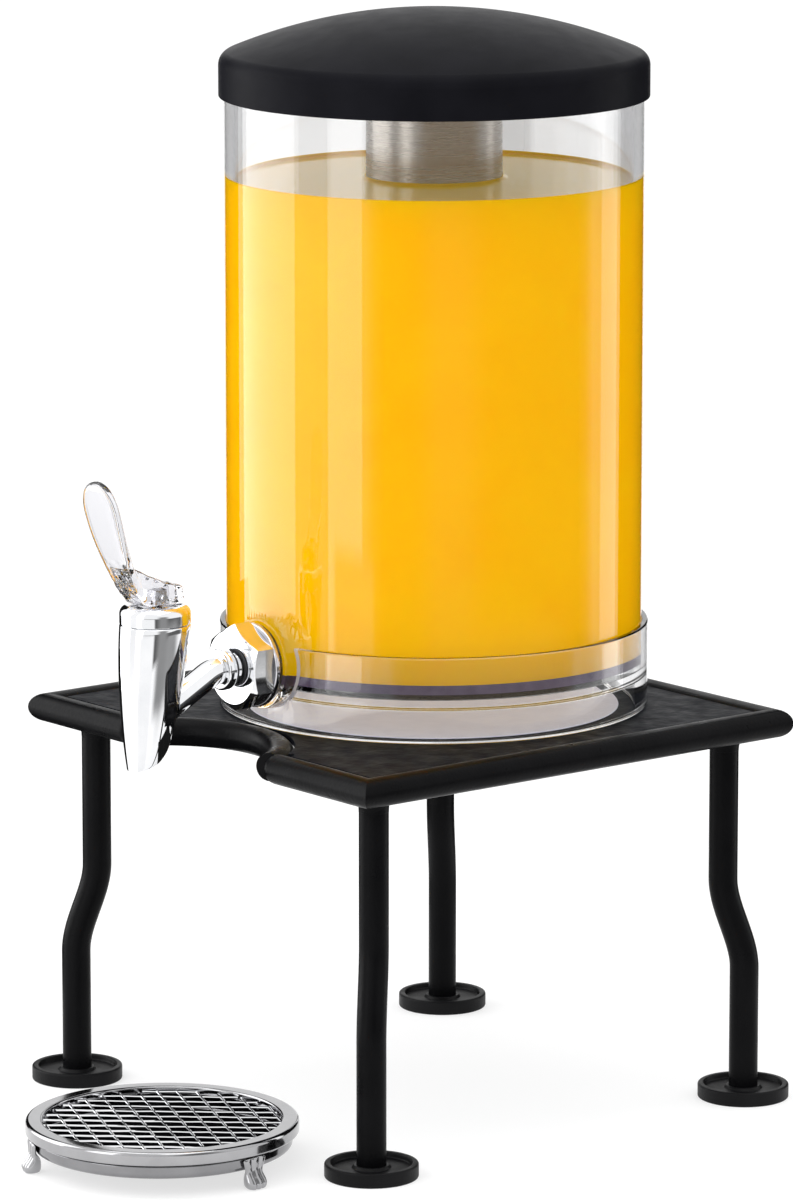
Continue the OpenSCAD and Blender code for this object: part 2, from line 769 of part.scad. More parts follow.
// Clear lever: a hub whose foot is an involute cam on the bonnet's flat top, and a spoon paddle.
// Profiles are drawn in the plane across the pin, with the pin at the origin and forwards at -x.
function cam_point(a) =
    let (h = cam_h + lift_per_rad * a * PI / 180)
    [-h * sin(a) - lift_per_rad * cos(a), -h * cos(a) + lift_per_rad * sin(a)];
paddle_y = -paddle_out;
paddle_z = hub_up - paddle_sink;
function paddle_point(a, off) =
    [
        paddle_y + paddle_r * sin(paddle_slope) - (paddle_r + off) * sin(a),
        paddle_z + paddle_r * cos(paddle_slope) - (paddle_r + off) * cos(a)
    ];
paddle_end = paddle_slope + paddle_l / paddle_r * 180 / PI;
paddle_top = paddle_point(paddle_end, 0)[1];

module hub_profile() {
    // The cam and the web behind the paddle run on a little, in degrees.
    over_tilt = 2;
    web_a = 3.2;
    steps = 8;
    cam = [for (i = [0 : steps]) cam_point((lever_tilt + over_tilt) * i / steps)];
    polygon(concat(
        [[hub_back, -cam_h]], cam,
        [
            paddle_point(paddle_slope, paddle_t / 2), paddle_point(paddle_slope + web_a, -paddle_t / 2),
            [0, hub_up], [hub_back - hub_bevel, hub_up - hub_fall], [hub_back, hub_up - hub_fall - hub_bevel]
        ]
    ));
}

module paddle_profile() {
    n = 12;
    angles = [for (i = [0 : n]) paddle_slope + (paddle_end - paddle_slope) * i / n];
    polygon(concat(
        [for (a = angles) paddle_point(a, paddle_t / 2)],
        [for (i = [n : -1 : 0]) paddle_point(angles[i], -paddle_t / 2)]
    ));
}

// The paddle seen from the front: narrow at the hub, widest near the top, with a round end.
module paddle_outline() {
    wide = paddle_w / 2;
    narrow = hub_w / 2;
    swell_z = paddle_top - paddle_crown;
    low = -cam_h;
    steps = 8;
    crown_steps = 15;
    flank = [for (i = [0 : steps]) [
        narrow + (wide - narrow) * (1 - cos(180 * i / steps)) / 2, low + (swell_z - low) * i / steps
    ]];
    crown = [
        for (i = [1 : crown_steps - 1])
            let (a = 180 * i / crown_steps)
            [wide * cos(a), swell_z + paddle_crown * sin(a)]
    ];
    polygon(concat(flank, crown, [for (i = [steps : -1 : 0]) [-flank[i][0], flank[i][1]]]));
}

module lever() {
    slot_w = tang_t + 2 * move_gap;
    slot_front = lift_per_rad + move_gap;
    slot_up = tang_w / sqrt(2) + move_gap;
    color(clear, clear_alpha) at_tap() translate([0, 0, pin_z]) difference() {
        union() {
            rotate([90, 0, 90]) translate([0, 0, -hub_w / 2]) linear_extrude(hub_w) hub_profile();
            intersection() {
                rotate([90, 0, 90]) translate([0, 0, -paddle_w])
                    linear_extrude(2 * paddle_w) paddle_profile();
                rotate([90, 0, 0]) translate([0, 0, -paddle_l])
                    linear_extrude(2 * paddle_l) paddle_outline();
            }
        }
        rotate([0, 90, 0]) cylinder(h = 2 * hub_w, d = pin_d + 2 * run_gap, center = true);
        translate([-slot_w / 2, -slot_front, -2 * cam_h])
            cube([slot_w, slot_front + slot_up, 2 * cam_h + slot_up]);
    }
}

// One third of the bayonet's clear space, as a ring sector that starts at an angle.
module sector(r_out, r_in, h, start, angle) {
    rotate([0, 0, start]) rotate_extrude(angle = angle)
        translate([r_in, 0]) square([r_out - r_in, h]);
}

module lid() {
    inner_r = lid_dome_r - lid_wall;
    skirt_in = tube_r + lid_slack;
    rim_out = bore_r - move_gap;
    plug_z = tube_top - lid_rim_depth;
    groove_z = lug_z - ice_slack;
    groove_h = lug_h + 2 * ice_slack;
    color(black) at_tube() difference() {
        rotate_extrude() polygon(concat(
            [[skirt_in, tube_top - lid_skirt], [lid_r, tube_top - lid_skirt]],
            arc(lid_r - lid_shoulder_r, shoulder_z, lid_shoulder_r, 0, shoulder_a),
            arc(0, dome_z, lid_dome_r, shoulder_a + 1, 90, 16),
            arc(0, dome_z, inner_r, 90, acos(socket_bore / inner_r), 6),
            [[socket_bore, socket_z], [socket_r, socket_z]],
            arc(0, dome_z, inner_r, acos(socket_r / inner_r), acos(lid_hollow_r / inner_r), 6),
            [[lid_hollow_r, plug_z], [rim_out, plug_z], [rim_out, lid_seat], [skirt_in, lid_seat]]
        ));
        for (third = [0, 120, 240]) {
            translate([0, 0, groove_z])
                sector(
                    groove_r, socket_bore - e, groove_h,
                    third + lug_start - groove_slack_a, lug_turn + lug_angle + 2 * groove_slack_a
                );
            translate([0, 0, socket_z - e])
                sector(
                    groove_r - bond_gap, socket_bore - e, groove_z - socket_z + 2 * e,
                    third + lug_start + lug_turn - slot_slack_a, lug_angle + 2 * slot_slack_a
                );
        }
    }
}

module lid_seal() {
    color(rubber) at_tube() translate([0, 0, tube_top])
        ring(tube_r - move_gap, bore_r - move_gap + bond_gap, lid_seal_t);
}

module ice_tube() {
    color(steel) at_tube() translate([0, 0, ice_z]) ring(ice_r, ice_r - ice_wall, ice_h);
}

module ice_tube_base() {
    color(steel) at_tube() translate([0, 0, ice_z])
        cylinder(h = ice_base_t, r = ice_r - ice_wall - bond_gap);
}

// Plastic ring glued round the ice tube, with three bayonet lugs and an O-ring groove.
module ice_tube_ring() {
    groove_in = ring_r + seal_proud - ice_seal_d - bond_gap;
    groove_h = ice_seal_d + 2 * bond_gap;
    groove_low = ice_seal_d - groove_h / 2;
    bore = ice_r + bond_gap;
    color(black) at_tube() {
        translate([0, 0, ring_z]) rotate_extrude() polygon([
            [bore, 0], [ring_r, 0], [ring_r, groove_low], [groove_in, groove_low],
            [groove_in, groove_low + groove_h], [ring_r, groove_low + groove_h],
            [ring_r, ice_ring_h], [bore, ice_ring_h]
        ]);
        for (third = [0, 120, 240])
            translate([0, 0, lug_z])
                sector(ring_r + lug_reach, ring_r - ice_ring_wall / 2, lug_h, third + lug_start, lug_angle);
    }
}

module ice_tube_seal() {
    color(rubber) at_tube() translate([0, 0, ice_seal_z])
        rotate_extrude() translate([ring_r + seal_proud - ice_seal_d / 2, 0]) circle(d = ice_seal_d);
}

module tray_dish() {
    neck_z = rim_z - dish_neck_h;
    inner_r = dish_r_out - dish_wall;
    corner = dish_r_out - dish_r;
    color(chrome) at_tray() rotate_extrude() polygon(concat(
        [[0, dish_z]],
        arc(corner, dish_z + dish_r, dish_r, -90, 0),
        [[dish_r_out, neck_z], [dish_neck_r, neck_z], [dish_neck_r, rim_z], [dish_in, rim_z]],
        [[dish_in, neck_z - dish_wall], [inner_r, neck_z - dish_wall]],
        arc(corner, dish_z + dish_r, dish_r - dish_wall, 0, -90),
        [[0, dish_z + dish_wall]]
    ));
}

// A claw under the rim, from the side of the dish down to a round toe.
module tray_foot(angle) {
    toe_r = claw_toe_h / 2;
    color(chrome) at_tray() rotate([0, 0, angle]) difference() {
        hull() {
            translate([dish_r_out, -claw_w / 2, dish_z])
                cube([claw_top_t, claw_w, rim_z - move_gap - dish_z]);
            translate([dish_r_out + claw_reach - toe_r, 0, toe_r]) rotate([90, 0, 0])
                cylinder(h = claw_toe_w, r = toe_r, center = true, $fn = 32);
            translate([dish_r_out - toe_r, 0, toe_r]) rotate([90, 0, 0])
                cylinder(h = claw_heel_w, r = toe_r, center = true, $fn = 32);
        }
        translate([0, 0, dish_z - bond_gap]) cylinder(h = tray_h, r = dish_r_out + bond_gap);
    }
}

// The cover's rim: a rounded ring with a skirt inside the dish and a ledge under the grille.
module tray_rim() {
    skirt_in = skirt_r - dish_wall;
    ledge_in = rim_in - grille_ledge;
    ledge_z = grille_z - grille_t;
    color(chrome) at_tray() rotate_extrude() polygon(concat(
        [[skirt_in, rim_z - skirt_h], [skirt_r, rim_z - skirt_h], [skirt_r, rim_z]],
        [[rim_r - rim_bevel, rim_z], [rim_r, rim_z + rim_bevel]],
        arc(rim_r - rim_round, tray_h - rim_round, rim_round, 0, 90),
        [[rim_in + rim_bevel, tray_h], [rim_in, tray_h - rim_bevel], [rim_in, grille_z]],
        [[ledge_in, grille_z], [ledge_in, ledge_z], [skirt_in, ledge_z]]
    ));
}

// Diamond mesh: two families of flat wires, trimmed to a disc.
module tray_grille() {
    wires = floor(grille_r / wire_pitch);
    color(chrome) at_tray() translate([0, 0, grille_z]) intersection() {
        cylinder(h = grille_t, r = grille_r);
        union() for (angle = [-wire_angle, wire_angle], i = [-wires : wires])
            rotate([0, 0, wire_turn + angle]) translate([0, i * wire_pitch, grille_t / 2])
                cube([2 * grille_r + 2 * e, wire_w, grille_t + 2 * e], center = true);
    }
}

stand_frame();
stand_plate();
leg(-1, -1);  // leg_front_left
leg(1, -1);  // leg_front_right
leg(-1, 1);  // leg_rear_left
leg(1, 1);  // leg_rear_right
foot(-1, -1);  // foot_front_left
foot(1, -1);  // foot_front_right
foot(-1, 1);  // foot_rear_left
foot(1, 1);  // foot_rear_right
base_collar();
container_floor();
container_tube();
juice();
tap_boss();
tap_gasket();
tap_washer();
tap_nut();
tap_body();
tap_bonnet();
valve_stem();
seat_cup();
stem_seal();
stem_spring();
cross_pin();
lever();
lid();
lid_seal();
ice_tube();
ice_tube_base();
ice_tube_ring();
ice_tube_seal();
tray_dish();
tray_foot(claw_angle);  // tray_foot_right
tray_foot(claw_angle + 120);  // tray_foot_rear
tray_foot(claw_angle + 240);  // tray_foot_front
tray_rim();
tray_grille();
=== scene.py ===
"""Looks of the juice dispenser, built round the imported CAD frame.

Units are metres. The frame has +Z up, the tap points to -Y, and +X is to the right of someone facing the tap.
"""
import math

import bmesh
import bpy
from mathutils import Matrix, Vector, noise


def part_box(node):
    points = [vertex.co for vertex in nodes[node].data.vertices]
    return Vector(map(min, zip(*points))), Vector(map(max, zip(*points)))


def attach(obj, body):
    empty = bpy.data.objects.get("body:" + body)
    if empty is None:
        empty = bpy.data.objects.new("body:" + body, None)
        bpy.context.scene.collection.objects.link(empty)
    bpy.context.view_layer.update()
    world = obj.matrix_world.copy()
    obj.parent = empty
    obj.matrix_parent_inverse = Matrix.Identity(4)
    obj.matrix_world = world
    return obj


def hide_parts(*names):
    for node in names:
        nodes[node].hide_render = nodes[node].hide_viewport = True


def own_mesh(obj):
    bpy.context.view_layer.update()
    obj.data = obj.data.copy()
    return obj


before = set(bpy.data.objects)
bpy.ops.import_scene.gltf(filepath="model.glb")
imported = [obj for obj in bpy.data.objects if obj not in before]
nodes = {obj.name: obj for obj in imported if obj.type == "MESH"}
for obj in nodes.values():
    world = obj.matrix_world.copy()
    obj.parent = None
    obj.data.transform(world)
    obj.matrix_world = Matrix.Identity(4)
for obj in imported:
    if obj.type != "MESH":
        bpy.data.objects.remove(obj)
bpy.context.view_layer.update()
MM = 0.001
FIT_GAP = 0.05 * MM


# Mesh helpers


def cylinder_of(node):
    """Axis (at z = 0), radius, lowest z and highest z of a round upright node."""
    lo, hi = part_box(node)
    return Vector(((lo.x + hi.x) / 2, (lo.y + hi.y) / 2, 0)), (hi.x - lo.x) / 2, lo.z, hi.z


def add_mesh(name, verts, faces, material, sharp=35):
    """A new smooth-shaded object, with edges sharper than an angle kept sharp."""
    mesh = bpy.data.meshes.new(name)
    bm = bmesh.new()
    made = [bm.verts.new(v) for v in verts]
    for face in faces:
        bm.faces.new([made[i] for i in face])
    bmesh.ops.recalc_face_normals(bm, faces=bm.faces)
    bm.to_mesh(mesh)
    bm.free()
    obj = bpy.data.objects.new(name, mesh)
    bpy.context.scene.collection.objects.link(obj)
    mesh.materials.append(material)
    shade(obj, sharp)
    return obj


def shade(obj, sharp=35):
    """Smooth shading with face-weighted normals."""
    obj.data.shade_smooth()
    obj.data.set_sharp_from_angle(angle=math.radians(sharp))
    if "weight" not in obj.modifiers:
        weight = obj.modifiers.new("weight", "WEIGHTED_NORMAL")
        weight.keep_sharp = True
        weight.weight = 100


def rounded(points, closed=True, steps=5):
    """A profile of (r, z). Its points are (r, z), or (r, z, fillet) for a rounded corner."""
    most = 0.49  # share of an edge that a fillet may take up
    out = []
    for i, point in enumerate(points):
        corner = Vector(point[:2])
        last = len(points) - 1
        if len(point) < 3 or (not closed and i in (0, last)):
            out.append(tuple(corner))
            continue
        before = Vector(points[i - 1][:2]) - corner
        after = Vector(points[(i + 1) % len(points)][:2]) - corner
        half = before.angle(after) / 2
        reach = min(point[2] / math.tan(half), most * before.length, most * after.length)
        radius = reach * math.tan(half)
        middle = corner + (before.normalized() + after.normalized()).normalized() * radius / math.sin(half)
        start = corner + before.normalized() * reach - middle
        end = corner + after.normalized() * reach - middle
        turn = math.atan2(start.cross(end), start.dot(end))
        for k in range(steps + 1):
            out.append(tuple(middle + Matrix.Rotation(turn * k / steps, 2) @ start))
    return out


def arc(x, y, r, start, end, steps=8):
    """Points on an arc, angles in degrees."""
    angles = [math.radians(start + (end - start) * k / steps) for k in range(steps + 1)]
    return [(x + r * math.cos(a), y + r * math.sin(a)) for a in angles]


def lathe(name, profile, material, place=None, steps=96, closed=True, sharp=35):
    """A profile of (r, z) turned round the Z axis of place. A point with r = 0 becomes one vertex."""
    place = place or Matrix()
    verts, index = [], []
    for r, z in profile:
        count = 1 if r < 1e-7 else steps
        index.append([len(verts) + (k if count > 1 else 0) for k in range(steps)])
        for k in range(count):
            a = 2 * math.pi * k / steps
            verts.append(place @ Vector((r * math.cos(a), r * math.sin(a), z)))
    faces = []
    last = len(profile) if closed else len(profile) - 1
    for i in range(last):
        low, high = index[i], index[(i + 1) % len(profile)]
        for k in range(steps):
            n = (k + 1) % steps
            face = list(dict.fromkeys((low[k], low[n], high[n], high[k])))
            if len(face) > 2:
                faces.append(face)
    return add_mesh(name, verts, faces, material, sharp)


def loft(name, rings, material, caps=True, sharp=35):
    """A skin over closed rings of equally many points."""
    count = len(rings[0])
    verts = [point for ring in rings for point in ring]
    faces = []
    for i in range(len(rings) - 1):
        for k in range(count):
            n = (k + 1) % count
            faces.append((i * count + k, i * count + n, (i + 1) * count + n, (i + 1) * count + k))
    if caps:
        faces.append(range(count))
        faces.append(range((len(rings) - 1) * count, len(rings) * count))
    return add_mesh(name, verts, faces, material, sharp)


def bar_rings(path, radii, sides):
    """Rings of a round bar along a path, with mitred corners."""
    path = [Vector(p) for p in path]
    rings = []
    normal = before = None
    for i, point in enumerate(path):
        into = (point - path[i - 1]).normalized() if i else (path[1] - point).normalized()
        out = (path[i + 1] - point).normalized() if i + 1 < len(path) else into
        along = (into + out).normalized()
        if normal is None:
            helper = Vector((0, 0, 1)) if abs(along.z) < 0.9 else Vector((1, 0, 0))
            normal = along.cross(helper)
        else:
            normal = before.rotation_difference(along) @ normal
        normal = (normal - along * normal.dot(along)).normalized()
        before = along
        side = along.cross(normal)
        bend = out - into
        stretch = 1 / max(0.3, along.dot(into)) - 1
        ring = []
        for k in range(sides):
            a = 2 * math.pi * k / sides
            spoke = normal * math.cos(a) + side * math.sin(a)
            if bend.length > 1e-6:
                spoke += bend.normalized() * spoke.dot(bend.normalized()) * stretch
            ring.append(point + spoke * radii[i])
        rings.append(ring)
    return rings


def bar(name, path, radius, material, sides=32, round_start=False, round_end=False, sharp=35):
    """A round bar along a path, with flat or rounded ends."""
    path = [Vector(p) for p in path]
    radii = [radius] * len(path)
    steps, last_angle = 6, 88
    for wanted, end, inner in ((round_start, 0, 1), (round_end, -1, -2)):
        if not wanted:
            continue
        along = (path[end] - path[inner]).normalized()
        tip = path[end]
        for k in range(1, steps + 1):
            a = math.radians(last_angle * k / steps)
            point, r = tip + along * radius * math.sin(a), radius * math.cos(a)
            if end == 0:
                path.insert(0, point)
                radii.insert(0, r)
            else:
                path.append(point)
                radii.append(r)
    return loft(name, bar_rings(path, radii, sides), material, sharp=sharp)


def apply_modifiers(obj):
    """Turns the object's modifiers into plain mesh."""
    depsgraph = bpy.context.evaluated_depsgraph_get()
    mesh = bpy.data.meshes.new_from_object(obj.evaluated_get(depsgraph))
    obj.modifiers.clear()
    obj.data = mesh


def cut(obj, cutter, keep="DIFFERENCE"):
    """Cuts one closed mesh with another, which is then removed."""
    obj.modifiers.clear()
    boolean = obj.modifiers.new("cut", "BOOLEAN")
    boolean.operation = keep
    boolean.solver = "EXACT"
    boolean.object = cutter
    bpy.context.view_layer.update()
    apply_modifiers(obj)
    bpy.data.objects.remove(cutter)
    shade(obj)


def dress(obj, body, slot, *replaced):
    """Puts a piece on its body and hides the CAD nodes that it stands for. The slot is not used."""
    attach(obj, body)
    if replaced:
        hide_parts(*replaced)
    return obj


# Materials


def shader(name):
    """A new material with its node tree and Principled shader."""
    material = bpy.data.materials.new(name)
    material.use_nodes = True
    tree = material.node_tree
    return material, tree, tree.nodes["Principled BSDF"]


def add(tree, kind, **values):
    """A shader node with its sockets or settings given by name."""
    node = tree.nodes.new("ShaderNode" + kind)
    for key, value in values.items():
        label = key.replace("_", " ").title()
        if hasattr(node, key) and label not in node.inputs:
            setattr(node, key, value)
        else:
            node.inputs[label].default_value = value
    return node


def grain(tree, scale, detail=4, stretch=(1, 1, 1), distortion=0.0):
    """A noise texture in object space, stretched along the axes."""
    coords = add(tree, "TexCoord")
    mapping = add(tree, "Mapping", Scale=stretch)
    texture = add(tree, "TexNoise", Scale=scale, Detail=detail, Distortion=distortion)
    tree.links.new(coords.outputs["Object"], mapping.inputs["Vector"])
    tree.links.new(mapping.outputs["Vector"], texture.inputs["Vector"])
    return texture.outputs["Fac"]


def spread(tree, value, low, high, start=0.3, end=0.7):
    """Maps a noise value to a range of numbers."""
    node = add(tree, "MapRange")
    for socket, number in zip(("From Min", "From Max", "To Min", "To Max"), (start, end, low, high)):
        node.inputs[socket].default_value = number
    tree.links.new(value, node.inputs["Value"])
    return node.outputs["Result"]


def tint(tree, value, low, high, start=0.3, end=0.7):
    """Maps a noise value to a range of colours."""
    ramp = add(tree, "ValToRGB")
    for element, place, colour in zip(ramp.color_ramp.elements, (start, end), (low, high)):
        element.position = place
        element.color = (*colour, 1)
    tree.links.new(value, ramp.inputs["Fac"])
    return ramp.outputs["Color"]


def relief(tree, bsdf, value, height, strength=1.0, soften=0.0):
    """A bump of a height in metres, over edges softened by a radius."""
    bump = add(tree, "Bump", Strength=strength, Distance=height)
    tree.links.new(value, bump.inputs["Height"])
    if soften:
        bevel = add(tree, "Bevel", samples=4, Radius=soften)
        tree.links.new(bevel.outputs["Normal"], bump.inputs["Normal"])
    tree.links.new(bump.outputs["Normal"], bsdf.inputs["Normal"])


def black_paint(name, dark, light, rough, peel, peel_height, specular, soften=0.0005):
    """Satin black coat: cloudy colour and gloss, with a fine orange peel."""
    material, tree, bsdf = shader(name)
    bsdf.inputs["Specular IOR Level"].default_value = specular
    cloud = grain(tree, scale=35, detail=5)
    tree.links.new(tint(tree, cloud, dark, light), bsdf.inputs["Base Color"])
    tree.links.new(spread(tree, grain(tree, scale=90, detail=6), *rough), bsdf.inputs["Roughness"])
    relief(tree, bsdf, grain(tree, peel, detail=3), peel_height, soften=soften)
    return material


def clear_plastic(name, colour, roughness, edge=None):
    """Clear acrylic with the faintest waves in its surface.

    The edge gives a painted shade: a darker colour for where it is seen edge-on, and the facing
    values where that starts, is full and has gone again.
    """
    material, tree, bsdf = shader(name)
    bsdf.inputs["Base Color"].default_value = (*colour, 1)
    if edge:
        facing = add(tree, "LayerWeight", Blend=0.5).outputs["Facing"]
        shade_off = tint(tree, facing, colour, edge[0], *edge[1:3])
        rim_light = shade_off.node.color_ramp.elements.new(edge[3])
        rim_light.color = (*colour, 1)
        tree.links.new(shade_off, bsdf.inputs["Base Color"])
    bsdf.inputs["Transmission Weight"].default_value = 1
    bsdf.inputs["IOR"].default_value = 1.49
    tree.links.new(spread(tree, grain(tree, scale=60, detail=3), *roughness), bsdf.inputs["Roughness"])
    relief(tree, bsdf, grain(tree, scale=25, detail=2), height=0.02 * MM, strength=0.3)
    return material


def polished_chrome(name, dark, light, rough=(0.02, 0.07)):
    """Bright plating with a slight unevenness in its gloss."""
    material, tree, bsdf = shader(name)
    bsdf.inputs["Metallic"].default_value = 1
    cloud = grain(tree, scale=70, detail=4)
    tree.links.new(tint(tree, cloud, dark, light), bsdf.inputs["Base Color"])
    tree.links.new(spread(tree, grain(tree, scale=160, detail=5), *rough), bsdf.inputs["Roughness"])
    relief(tree, bsdf, grain(tree, scale=220, detail=2), height=0.01 * MM, strength=0.5)
    return material


def brushed_steel(name, stretch, dark, light):
    """Satin steel with fine brush lines along the axes that are scaled least."""
    material, tree, bsdf = shader(name)
    bsdf.inputs["Metallic"].default_value = 1
    lines = grain(tree, scale=1, detail=5, stretch=stretch)
    tree.links.new(tint(tree, lines, dark, light), bsdf.inputs["Base Color"])
    tree.links.new(spread(tree, lines, low=0.24, high=0.30), bsdf.inputs["Roughness"])
    relief(tree, bsdf, lines, height=0.01 * MM, strength=0.03)
    return material


def soft_rubber(name, dark, light, glow=0.0):
    """Matt rubber with a fine grain, and a painted pale blue glow where glow is above zero."""
    material, tree, bsdf = shader(name)
    # Painted glow: a pale blue emission
    bsdf.inputs["Emission Color"].default_value = (0.84, 0.84, 1.0, 1)
    bsdf.inputs["Emission Strength"].default_value = glow
    tree.links.new(tint(tree, grain(tree, scale=120, detail=4), dark, light), bsdf.inputs["Base Color"])
    roughness = spread(tree, grain(tree, scale=300, detail=4), low=0.6, high=0.8)
    tree.links.new(roughness, bsdf.inputs["Roughness"])
    relief(tree, bsdf, grain(tree, scale=900, detail=3), height=0.05 * MM)
    return material


def cloudy_juice(name, dark, light, glow, specular):
    """Cloudy orange juice: light scatters a little way inside it, pulp varies its colour, and glow adds a
    painted orange glow.
    """
    material, tree, bsdf = shader(name)
    pulp = grain(tree, scale=22, detail=6, distortion=0.6)
    tree.links.new(tint(tree, pulp, dark, light), bsdf.inputs["Base Color"])
    roughness = spread(tree, grain(tree, scale=400, detail=3), low=0.06, high=0.14)
    tree.links.new(roughness, bsdf.inputs["Roughness"])
    bsdf.inputs["IOR"].default_value = 1.35
    bsdf.inputs["Specular IOR Level"].default_value = specular
    bsdf.inputs["Subsurface Weight"].default_value = 0.3
    bsdf.inputs["Subsurface Radius"].default_value = (1.0, 0.5, 0.05)
    bsdf.inputs["Subsurface Scale"].default_value = 0.008
    # Painted glow: an orange emission that brightens the juice beyond its lighting
    bsdf.inputs["Emission Color"].default_value = (1.0, 0.72, 0.0, 1)
    bsdf.inputs["Emission Strength"].default_value = glow
    return material


IRON = black_paint(
    "iron_paint", (0.002, 0.002, 0.0024), (0.004, 0.004, 0.0046),
    rough=(0.26, 0.38), peel=700, peel_height=0.12 * MM, specular=0.058,
)
PLATE = black_paint(
    "plate_paint", (0.003, 0.0036, 0.0058), (0.0068, 0.0078, 0.0112),
    rough=(0.36, 0.56), peel=260, peel_height=0.35 * MM, specular=0.032,
)
FOOT = black_paint(
    "foot_plastic", (0.003, 0.003, 0.0034), (0.006, 0.006, 0.0068),
    rough=(0.38, 0.52), peel=1200, peel_height=0.08 * MM, specular=0.11,
)
LID = black_paint(
    "lid_plastic", (0.005, 0.005, 0.0066), (0.0075, 0.0075, 0.0098),
    rough=(0.34, 0.40), peel=2600, peel_height=0.04 * MM, specular=0.021, soften=0,
)
# Painted shade: a flat black without gloss, for the shadow gap under the tray's rim and the dish floor
TRAY_PAINTED_SHADE = black_paint(
    "tray_shadow", (0.0015, 0.0015, 0.002), (0.003, 0.003, 0.0035),
    rough=(0.6, 0.8), peel=1200, peel_height=0.08 * MM, specular=0, soften=0,
)
ACRYLIC = clear_plastic("clear_acrylic", (0.962, 0.965, 0.97), (0.0, 0.02))
# Painted shade: the tube's headspace takes a darker copy of the acrylic, and it and the lever darken where
# seen edge-on
HEAD_ACRYLIC_PAINTED_SHADE = clear_plastic("head_acrylic_painted_shade", (0.87, 0.87, 0.872), (0.0, 0.02), ((0.40, 0.40, 0.41), 0.42, 0.70, 0.90))
LEVER = clear_plastic("clear_lever", (0.80, 0.80, 0.83), (0.0, 0.03), ((0.10, 0.10, 0.12), 0.45, 0.85, 1.0))
SILICONE = clear_plastic("clear_silicone", (0.85, 0.85, 0.86), (0.25, 0.4))
CHROME = polished_chrome("chrome", (0.80, 0.81, 0.83), (0.88, 0.885, 0.90))
WASHER = polished_chrome("washer_chrome", (0.56, 0.55, 0.58), (0.64, 0.63, 0.66), (0.06, 0.12))
# Painted shade: the tray's chrome is darkened well below polished metal so that it reads grey, and the dish
# darker still
TRAY_CHROME_PAINTED_SHADE = polished_chrome("tray_chrome_painted_shade", (0.35, 0.35, 0.36), (0.405, 0.405, 0.415), (0.08, 0.16))
DISH_CHROME_PAINTED_SHADE = polished_chrome("dish_chrome_painted_shade", (0.235, 0.235, 0.243), (0.275, 0.275, 0.284), (0.08, 0.16))
# Partly painted: the brush lines are the steel's own, and the warm brown tint is a painted reflection of the
# juice
STEEL_PAINTED_WARM_REFLECTION = brushed_steel("brushed_steel", (14, 14, 700), (0.345, 0.322, 0.292), (0.37, 0.347, 0.317))
PIN = brushed_steel("turned_steel", (2200, 2200, 300), (0.50, 0.50, 0.50), (0.62, 0.62, 0.62))
RUBBER = soft_rubber("seal_rubber", (0.03, 0.03, 0.032), (0.055, 0.055, 0.06))
# The base pad carries a painted pale blue glow
PAD_PAINTED_GLOW = soft_rubber("base_pad", (0.68, 0.68, 0.69), (0.74, 0.74, 0.75), glow=0.36)
# A warm matt face with a painted glow, for the cut round the boss
CUT_FACE_PAINTED_GLOW = soft_rubber("cut_face_painted_glow", (0.60, 0.50, 0.34), (0.66, 0.56, 0.40), glow=0.2)
RIM_GLUE = soft_rubber("rim_glue", (0.11, 0.082, 0.15), (0.165, 0.125, 0.21))
# Both juice materials carry a painted orange glow
JUICE = cloudy_juice("cloudy_juice", (1.0, 0.47, 0.001), (1.0, 0.53, 0.003), glow=0.245, specular=0)
JUICE_TOP = cloudy_juice("juice_surface", (0.80, 0.33, 0.02), (0.86, 0.38, 0.035), glow=0.17, specular=0.19)

# Stand

ROD_R = 7 * MM
STUB_END = 50.5 * MM
NOTCH_ROD_R = 6.8 * MM
NOTCH_DEPTH = 31 * MM
LEG_STRAIGHT_Z = 108 * MM
LEG_BEND_Z = 64 * MM
LEG_SPLAY = 7.5 * MM
WELD_R, WELD_DROP, WELD_RIPPLES = 1.7 * MM, 1.2 * MM, 13
FLARE_OUT, FLARE_DROP, FLARE_H = 2.6 * MM, 6.5 * MM, 9 * MM
FOOT_FLOOR, FOOT_RIM, FOOT_WEB = 2 * MM, 3 * MM, 4.5 * MM
FOOT_BOSS_H = 1.4 * MM

frame_lo, frame_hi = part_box("stand_frame")
stand = (frame_lo + frame_hi) / 2
side = (frame_hi.x - frame_lo.x) / 2 - ROD_R
plate_lo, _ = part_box("stand_plate")


def on_stand(x, y):
    """A point at the height of the rods, from the middle of the frame."""
    return stand + Vector((x, y, 0))


rods = bar(
    "frame_rods",
    [
        on_stand(-STUB_END - ROD_R, -side), on_stand(-side, -side), on_stand(-side, side),
        on_stand(side, side), on_stand(side, -side), on_stand(STUB_END + ROD_R, -side),
    ],
    ROD_R, IRON, round_start=True, round_end=True,
)
dress(rods, "stand", "black_iron", "stand_frame")

notch_r = (STUB_END ** 2 + NOTCH_DEPTH ** 2) / (2 * NOTCH_DEPTH)
notch_y = -side + NOTCH_DEPTH - notch_r
notch_a = math.degrees(math.asin((notch_r - NOTCH_DEPTH) / notch_r))
notch_path = [on_stand(x, y) for x, y in arc(0, notch_y, notch_r, notch_a, 180 - notch_a, 40)]
dress(bar("notch_rod", notch_path, NOTCH_ROD_R, IRON), "stand", "black_iron")


